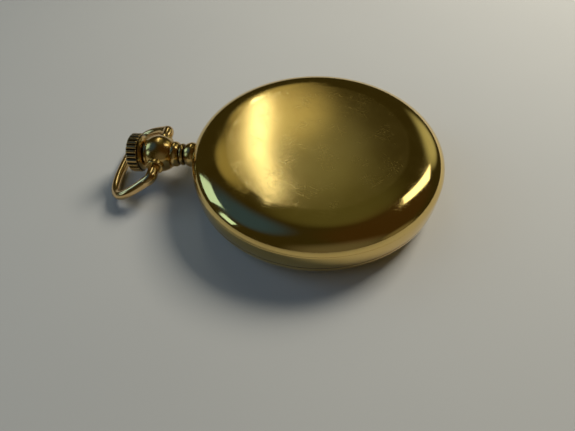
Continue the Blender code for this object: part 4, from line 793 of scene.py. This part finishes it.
def make_pendant():
    """The tube: collar, ring, taper, ball and end collar outside, its bore inside, and two bosses."""
    start, top = CASE_RADIUS + GAP, PENDANT_TOP
    neck = smooth_curve(
        [
            (2.35 * MM, start),
            (2.56 * MM, start + 0.5 * MM),
            (2.58 * MM, start + 1.0 * MM),
            (2.35 * MM, start + 1.7 * MM),
            (GROOVE_RADIUS, start + 2.3 * MM),
        ]
    )
    ring = smooth_curve(
        [
            (GROOVE_RADIUS, start + 2.32 * MM),
            (2.2 * MM, start + 2.5 * MM),
            (2.28 * MM, start + 2.8 * MM),
            (2.2 * MM, start + 3.1 * MM),
            (GROOVE_RADIUS, start + 3.28 * MM),
        ],
        4,
    )
    taper = smooth_curve(
        [
            (GROOVE_RADIUS, start + 3.3 * MM),
            (2.3 * MM, start + 3.6 * MM),
            (2.6 * MM, start + 4.1 * MM),
            (2.62 * MM, start + 4.6 * MM),
            (2.45 * MM, start + 5.1 * MM),
        ],
        5,
    )
    ball = [
        (BALL_RADIUS * math.cos(a), PIVOT_Y + BALL_RADIUS * math.sin(a))
        for a in [math.radians(-44 + 76 * i / 26) for i in range(27)]
    ]
    collar = [(3.0 * MM, top - 0.5 * MM), (2.95 * MM, top - 0.2 * MM), (2.6 * MM, top)]
    bore = [(SLEEVE_BORE, top), (SLEEVE_BORE, SLEEVE_START), (STEM_BORE, SLEEVE_START)]
    foot = [(STEM_BORE, PENDANT_FOOT), (STEM_HOLE - GAP, PENDANT_FOOT), (STEM_HOLE - GAP, start)]
    outline = bore + foot + neck + ring + taper + ball + collar
    body = finish_mesh("pendant_tube", to_pendant(spun(outline, 72)), pendant_gold)
    bosses, bores = [], []
    corners = [(0.0, BOSS_FOOT), (BOSS_RADIUS, BOSS_FOOT), (BOSS_RADIUS, BOSS_END), (0.0, BOSS_END)]
    for side in (1, -1):
        boss = spun(rounded(corners, 0.25 * MM, 4), 48)
        for bm, kept in ((boss, bosses), (rod(PIVOT_HOLE, 2.3 * MM, 6.0 * MM), bores)):
            turn = Matrix.Rotation(side * math.pi / 2, 4, "Y")
            bm.transform(Matrix.Translation((0.0, PIVOT_Y, STEM_HEIGHT)) @ turn)
            kept.append(finish_mesh("tool", bm, pendant_gold))
    cut(body, bosses, "UNION")
    cut(body, bores)
    return body


pendant = make_pendant()
# Painted shade: darkens the neck's grooves and fine rings near the stem's line.
dirty_valleys(pendant_tree, pendant_shader, GROOVE_RADIUS, 2.36 * MM, shade_colour=(0.05, 0.03, 0.012))
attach(pendant, "case")
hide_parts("pendant")

# ------------------------------------------------------------------ bow
# Round gold wire, bent to a stirrup and sprung into the pendant's bosses. It is a little thicker
# where it turns into them, and it is polished by the chain along its bar.
bow_gold, _, _ = worn_metal(
    "bow gold", (0.88, 0.63, 0.30), (0.68, 0.43, 0.17), polish=0.13, cloud=0.07, scratch=0.14, amount=0.9
)
BOW_DROOP = math.radians(26.71)
BOW_WIRE = 0.95 * MM


def bow_route():
    """Half the wire's middle line as (sideways, outwards, swelling), from the boss to the bar's middle."""
    half, wide, long, bend = 7.8 * MM, 9.4 * MM, 10.9 * MM, 1.2 * MM
    route = [(BOSS_FOOT, 0.0, 1.0), (BOSS_END - GAP, 0.0, 1.0)]
    route += [(BOSS_END + 0.2 * MM, 0.0, 1.19), (half - bend, 0.0, 1.2)]
    for i in range(1, 9):
        turn = math.pi / 2 * i / 8
        route.append((half - bend + bend * math.sin(turn), bend * (1 - math.cos(turn)), 1.2 - 0.1 * i / 8))
    corner_y = 0.60 * long
    for i in range(1, 10):
        share = i / 10
        x = half + (wide - half) * math.sin(share * math.pi / 2)
        route.append((x, bend + (corner_y - bend) * share, 1.1 - 0.1 * min(share * 2, 1.0)))
    for i in range(25):
        turn = math.pi / 2 * i / 24
        x = wide * math.cos(turn) ** 0.8 if i < 24 else 0.0
        route.append((x, corner_y + (long - corner_y) * math.sin(turn) ** 0.95, 1.0))
    return route


def make_bow():
    """The wire, bent along its route and tipped down until its bar rests on the table."""
    half = bow_route()
    route = half + [(-x, y, swell) for x, y, swell in half[-2::-1]]
    curve = bpy.data.curves.new("bow_wire", "CURVE")
    curve.dimensions = "3D"
    curve.bevel_depth = BOW_WIRE
    curve.bevel_resolution = 6
    curve.use_fill_caps = True
    spline = curve.splines.new("POLY")
    spline.points.add(len(route) - 1)
    for point, (x, y, swell) in zip(spline.points, route):
        point.co = (x, y, 0.0, 1.0)
        point.radius = swell
    wire = bpy.data.objects.new("bow_curve", curve)
    mesh = bpy.data.meshes.new_from_object(wire)
    bpy.data.objects.remove(wire)
    mesh.transform(Matrix.Translation((0.0, PIVOT_Y, STEM_HEIGHT)) @ Matrix.Rotation(-BOW_DROOP, 4, "X"))
    mesh.materials.clear()
    mesh.materials.append(bow_gold)
    mesh.shade_smooth()
    return link_object("bow_wire", mesh)


bow = make_bow()
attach(bow, "bow")
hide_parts("bow")

# ------------------------------------------------------------------ crown
# The winding button: a gold cap with rounded flutes for the fingers and a smooth shoulder towards
# the pendant, pressed on the end of the stem. The valleys between the flutes are darkened with painted shade.
crown_low, crown_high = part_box("crown")
CROWN_START, CROWN_END = framed(crown_low.y), framed(crown_high.y)
CROWN_RADIUS = framed(crown_high.x)
FLUTES, FACETS_PER_FLUTE = 24, 12
FLUTE_DEPTH, FLUTE_START, FLUTED_FROM = 0.34 * MM, 0.6 * MM, 3.62 * MM
STEM_SOCKET, SOCKET_DEPTH = 0.95 * MM, 2.2 * MM
crown_gold, crown_tree, crown_shader = worn_metal(
    "crown gold", (0.80, 0.57, 0.25), (0.60, 0.40, 0.15), polish=0.17, cloud=0.08, scratch=0.12, amount=0.7
)


def make_crown():
    """The cap, turned with the stem's socket in it, and then pressed inwards between the flutes."""
    length = CROWN_END - CROWN_START
    outline = [(0.0, SOCKET_DEPTH), (STEM_SOCKET, SOCKET_DEPTH), (STEM_SOCKET, 0.0), (2.6 * MM, 0.0)]
    outline += smooth_curve(
        [
            (2.8 * MM, 0.02 * MM),
            (3.2 * MM, 0.22 * MM),
            (3.55 * MM, 0.48 * MM),
            (3.72 * MM, 0.62 * MM),
            (3.95 * MM, 0.75 * MM),
            (CROWN_RADIUS, 0.95 * MM),
            (CROWN_RADIUS, 1.6 * MM),
            (CROWN_RADIUS, length - 0.55 * MM),
            (3.9 * MM, length - 0.3 * MM),
            (3.6 * MM, length - 0.1 * MM),
            (3.1 * MM, length - 0.02 * MM),
        ],
        4,
    )
    outline += [(2.0 * MM, length), (0.0, length)]
    bm = spun(outline, FLUTES * FACETS_PER_FLUTE)
    for vert in bm.verts:
        reach, level = vert.co.xy.length, vert.co.z
        if reach > FLUTED_FROM and level > FLUTE_START:
            turn = math.atan2(vert.co.y, vert.co.x) * FLUTES
            valley = (0.5 - 0.5 * math.cos(turn)) ** 2.2
            run_in = min((level - FLUTE_START) / (0.25 * MM), 1.0)
            run_out = min((length - 0.02 * MM - level) / (0.4 * MM), 1.0)
            vert.co.xy *= (reach - FLUTE_DEPTH * valley * max(run_in * run_out, 0.0)) / reach
    return finish_mesh("crown_button", to_pendant(bm, CROWN_START), crown_gold, 40.0)


crown = make_crown()
# Painted shade: darkens the valleys between the flutes.
dirty_valleys(
    crown_tree, crown_shader, CROWN_RADIUS - FLUTE_DEPTH, CROWN_RADIUS - 0.02 * MM, shade_colour=(0.035, 0.022, 0.010)
)
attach(crown, "crown")
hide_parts("crown")

# ------------------------------------------------------------------ dial
# White enamel fired on a copper disc, with the numerals and the two tracks printed in black and
# fired into it. It faces the crystal, under the movement.
enamel = mottled_material(
    "dial enamel", (0.88, 0.87, 0.82), (0.85, 0.84, 0.79), roughness=0.12, patch=90.0, grain=1800.0, bump=0.05
)
ink = mottled_material(
    "dial ink", (0.012, 0.012, 0.014), (0.02, 0.02, 0.022), roughness=0.25, patch=300.0, grain=4000.0
)
DIAL_FACE = framed(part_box("dial")[0].z)
SECONDS_CENTRE = [framed(value) for value in JOINT_PLACE["fourth_turn"][:2]]
MINUTE_TRACK, SECONDS_TRACK = 19.2 * MM, 4.6 * MM
NUMERAL_RING, NUMERAL_SIZE = 15.6 * MM, 4.6 * MM


def dial_mark(bm, centre, angle, near, far, width):
    """A thin printed bar, pointing out from the centre, on the lower face of the dial."""
    turn = Matrix.Rotation(angle, 4, "Z")
    corners = [(-width / 2, near), (width / 2, near), (width / 2, far), (-width / 2, far)]
    levels = (DIAL_FACE - 0.03 * MM, DIAL_FACE + 0.01 * MM)
    rows = [
        [bm.verts.new(turn @ Vector((x, y, 0.0)) + Vector((*centre, z))) for x, y in corners]
        for z in levels
    ]
    bm.faces.new(rows[0][::-1])
    bm.faces.new(rows[1])
    for i in range(4):
        j = (i + 1) % 4
        bm.faces.new((rows[0][i], rows[0][j], rows[1][j], rows[1][i]))


def make_printing():
    """The minute track and the seconds track, as one thin raised print with every fifth mark longer."""
    bm = bmesh.new()
    for minute in range(60):
        near, width = (18.2 * MM, 0.30 * MM) if minute % 5 == 0 else (18.6 * MM, 0.13 * MM)
        dial_mark(bm, (0.0, 0.0), TAU * minute / 60, near, MINUTE_TRACK, width)
    for second in range(60):
        near = 3.9 * MM if second % 5 == 0 else 4.2 * MM
        dial_mark(bm, SECONDS_CENTRE, TAU * second / 60, near, SECONDS_TRACK, 0.09 * MM)
    return finish_mesh("dial_tracks", bm, ink)


def make_numeral(hour):
    """One upright numeral, read from the dial side with the winding button at the top."""
    curve = bpy.data.curves.new(f"numeral_{hour}", "FONT")
    curve.body = str(hour)
    curve.size = NUMERAL_SIZE
    curve.align_x = "CENTER"
    curve.align_y = "CENTER"
    curve.extrude = 0.015 * MM
    curve.resolution_u = 4
    word = bpy.data.objects.new("numeral", curve)
    mesh = bpy.data.meshes.new_from_object(word)
    bpy.data.objects.remove(word)
    angle = -TAU * hour / 12
    place = Vector(
        (NUMERAL_RING * math.sin(angle), NUMERAL_RING * math.cos(angle), DIAL_FACE - 0.01 * MM)
    )
    mesh.transform(Matrix.Translation(place) @ Matrix.Rotation(math.pi, 4, "Y"))
    mesh.materials.clear()
    mesh.materials.append(ink)
    return link_object(f"numeral_{hour}", mesh)


printing = [make_printing()] + [make_numeral(hour) for hour in range(1, 13) if hour != 6]
for mark in printing:
    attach(mark, "case")


# ------------------------------------------------------------------ movement
# Nickel plates with damascened stripes, gilt wheels, polished steel winding parts, ruby bearings and
# heat-blued screws, hairspring and hands. Each part is turned or stamped and its edges are broken.
def make_stripe_group():
    """Shallow straight stripes that change how bright the metal is, with a fine brushed height."""
    tree, given, out = new_group(
        "damascened stripes",
        [("Light", (0.8, 0.8, 0.8)), ("Dark", (0.6, 0.6, 0.6)), ("Angle", 0.6)],
        [("Color", "NodeSocketColor"), ("Roughness", "NodeSocketFloat"), ("Height", "NodeSocketFloat")],
    )
    link = tree.links.new
    place = add_node(tree, "ShaderNodeTexCoord")
    turn = add_node(tree, "ShaderNodeVectorRotate", rotation_type="Z_AXIS")
    wave = add_node(tree, "ShaderNodeTexWave", Scale=110.0, wave_type="BANDS", bands_direction="X")
    brush = add_node(tree, "ShaderNodeMapping", Scale=(9000.0, 300.0, 9000.0))
    grain = add_node(tree, "ShaderNodeTexNoise", Scale=1.0, Detail=2.0)
    mix = add_node(tree, "ShaderNodeMix", data_type="RGBA")
    rough = add_node(tree, "ShaderNodeMapRange", To_Min=0.18, To_Max=0.34)
    link(place.outputs["Object"], turn.inputs["Vector"])
    link(given.outputs["Angle"], turn.inputs["Angle"])
    link(turn.outputs["Vector"], wave.inputs["Vector"])
    link(turn.outputs["Vector"], brush.inputs["Vector"])
    link(brush.outputs["Vector"], grain.inputs["Vector"])
    link(wave.outputs["Fac"], mix.inputs["Factor"])
    link(given.outputs["Light"], mix.inputs[6])
    link(given.outputs["Dark"], mix.inputs[7])
    link(grain.outputs["Fac"], rough.inputs["Value"])
    link(mix.outputs[2], out.inputs["Color"])
    link(rough.outputs["Result"], out.inputs["Roughness"])
    link(wave.outputs["Fac"], out.inputs["Height"])
    return tree


nickel, nickel_tree, nickel_shader = new_material("striped nickel", (0.78, 0.77, 0.72), 0.25, 1.0)
stripes = use_group(
    nickel_tree, make_stripe_group(), Light=(0.80, 0.79, 0.74), Dark=(0.62, 0.61, 0.57), Angle=0.6
)
nickel_tree.links.new(stripes.outputs["Color"], nickel_shader.inputs["Base Color"])
nickel_tree.links.new(stripes.outputs["Roughness"], nickel_shader.inputs["Roughness"])
nickel_relief = add_node(nickel_tree, "ShaderNodeBump", Strength=0.6, Distance=0.01 * MM)
nickel_tree.links.new(stripes.outputs["Height"], nickel_relief.inputs["Height"])
nickel_tree.links.new(nickel_relief.outputs["Normal"], nickel_shader.inputs["Normal"])

gilt, _, _ = worn_metal(
    "gilt brass", (0.88, 0.68, 0.34), (0.78, 0.56, 0.25), polish=0.18, cloud=0.08, scratch=0.1, amount=0.5
)
steel, _, _ = worn_metal(
    "polished steel", (0.66, 0.66, 0.67), (0.55, 0.55, 0.57), polish=0.14, cloud=0.08, scratch=0.1, amount=0.7
)
blued, _, _ = worn_metal(
    "blued steel", (0.045, 0.10, 0.42), (0.05, 0.06, 0.25), polish=0.14, cloud=0.08, scratch=0.1, amount=0.4
)
ruby = mottled_material(
    "ruby", (0.70, 0.03, 0.11), (0.55, 0.02, 0.09), roughness=0.06, patch=800.0, grain=3000.0
)
ruby.node_tree.nodes["Principled BSDF"].inputs["Coat Weight"].default_value = 0.6

FINISHES = {
    "nickel": nickel,
    "brass": gilt,
    "steel": steel,
    "blued_steel": blued,
    "ruby": ruby,
    "enamel": enamel,
}
EDGE_BREAK = 0.03 * MM
slot_of = {row["node"]: row["material_slot"] for row in frame["record"]["subparts"]}
REPLACED = {"back_cover", "case_centre", "bezel", "crystal", "pendant", "bow", "crown"}
for name, node in frame["nodes"].items():
    if name in REPLACED:
        continue
    for place in node.material_slots:
        place.material = FINISHES[slot_of[name]]
    edge = node.modifiers.new("broken edges", "BEVEL")
    edge.width = EDGE_BREAK
    edge.segments = 2
    edge.limit_method = "ANGLE"
    edge.angle_limit = math.radians(40)
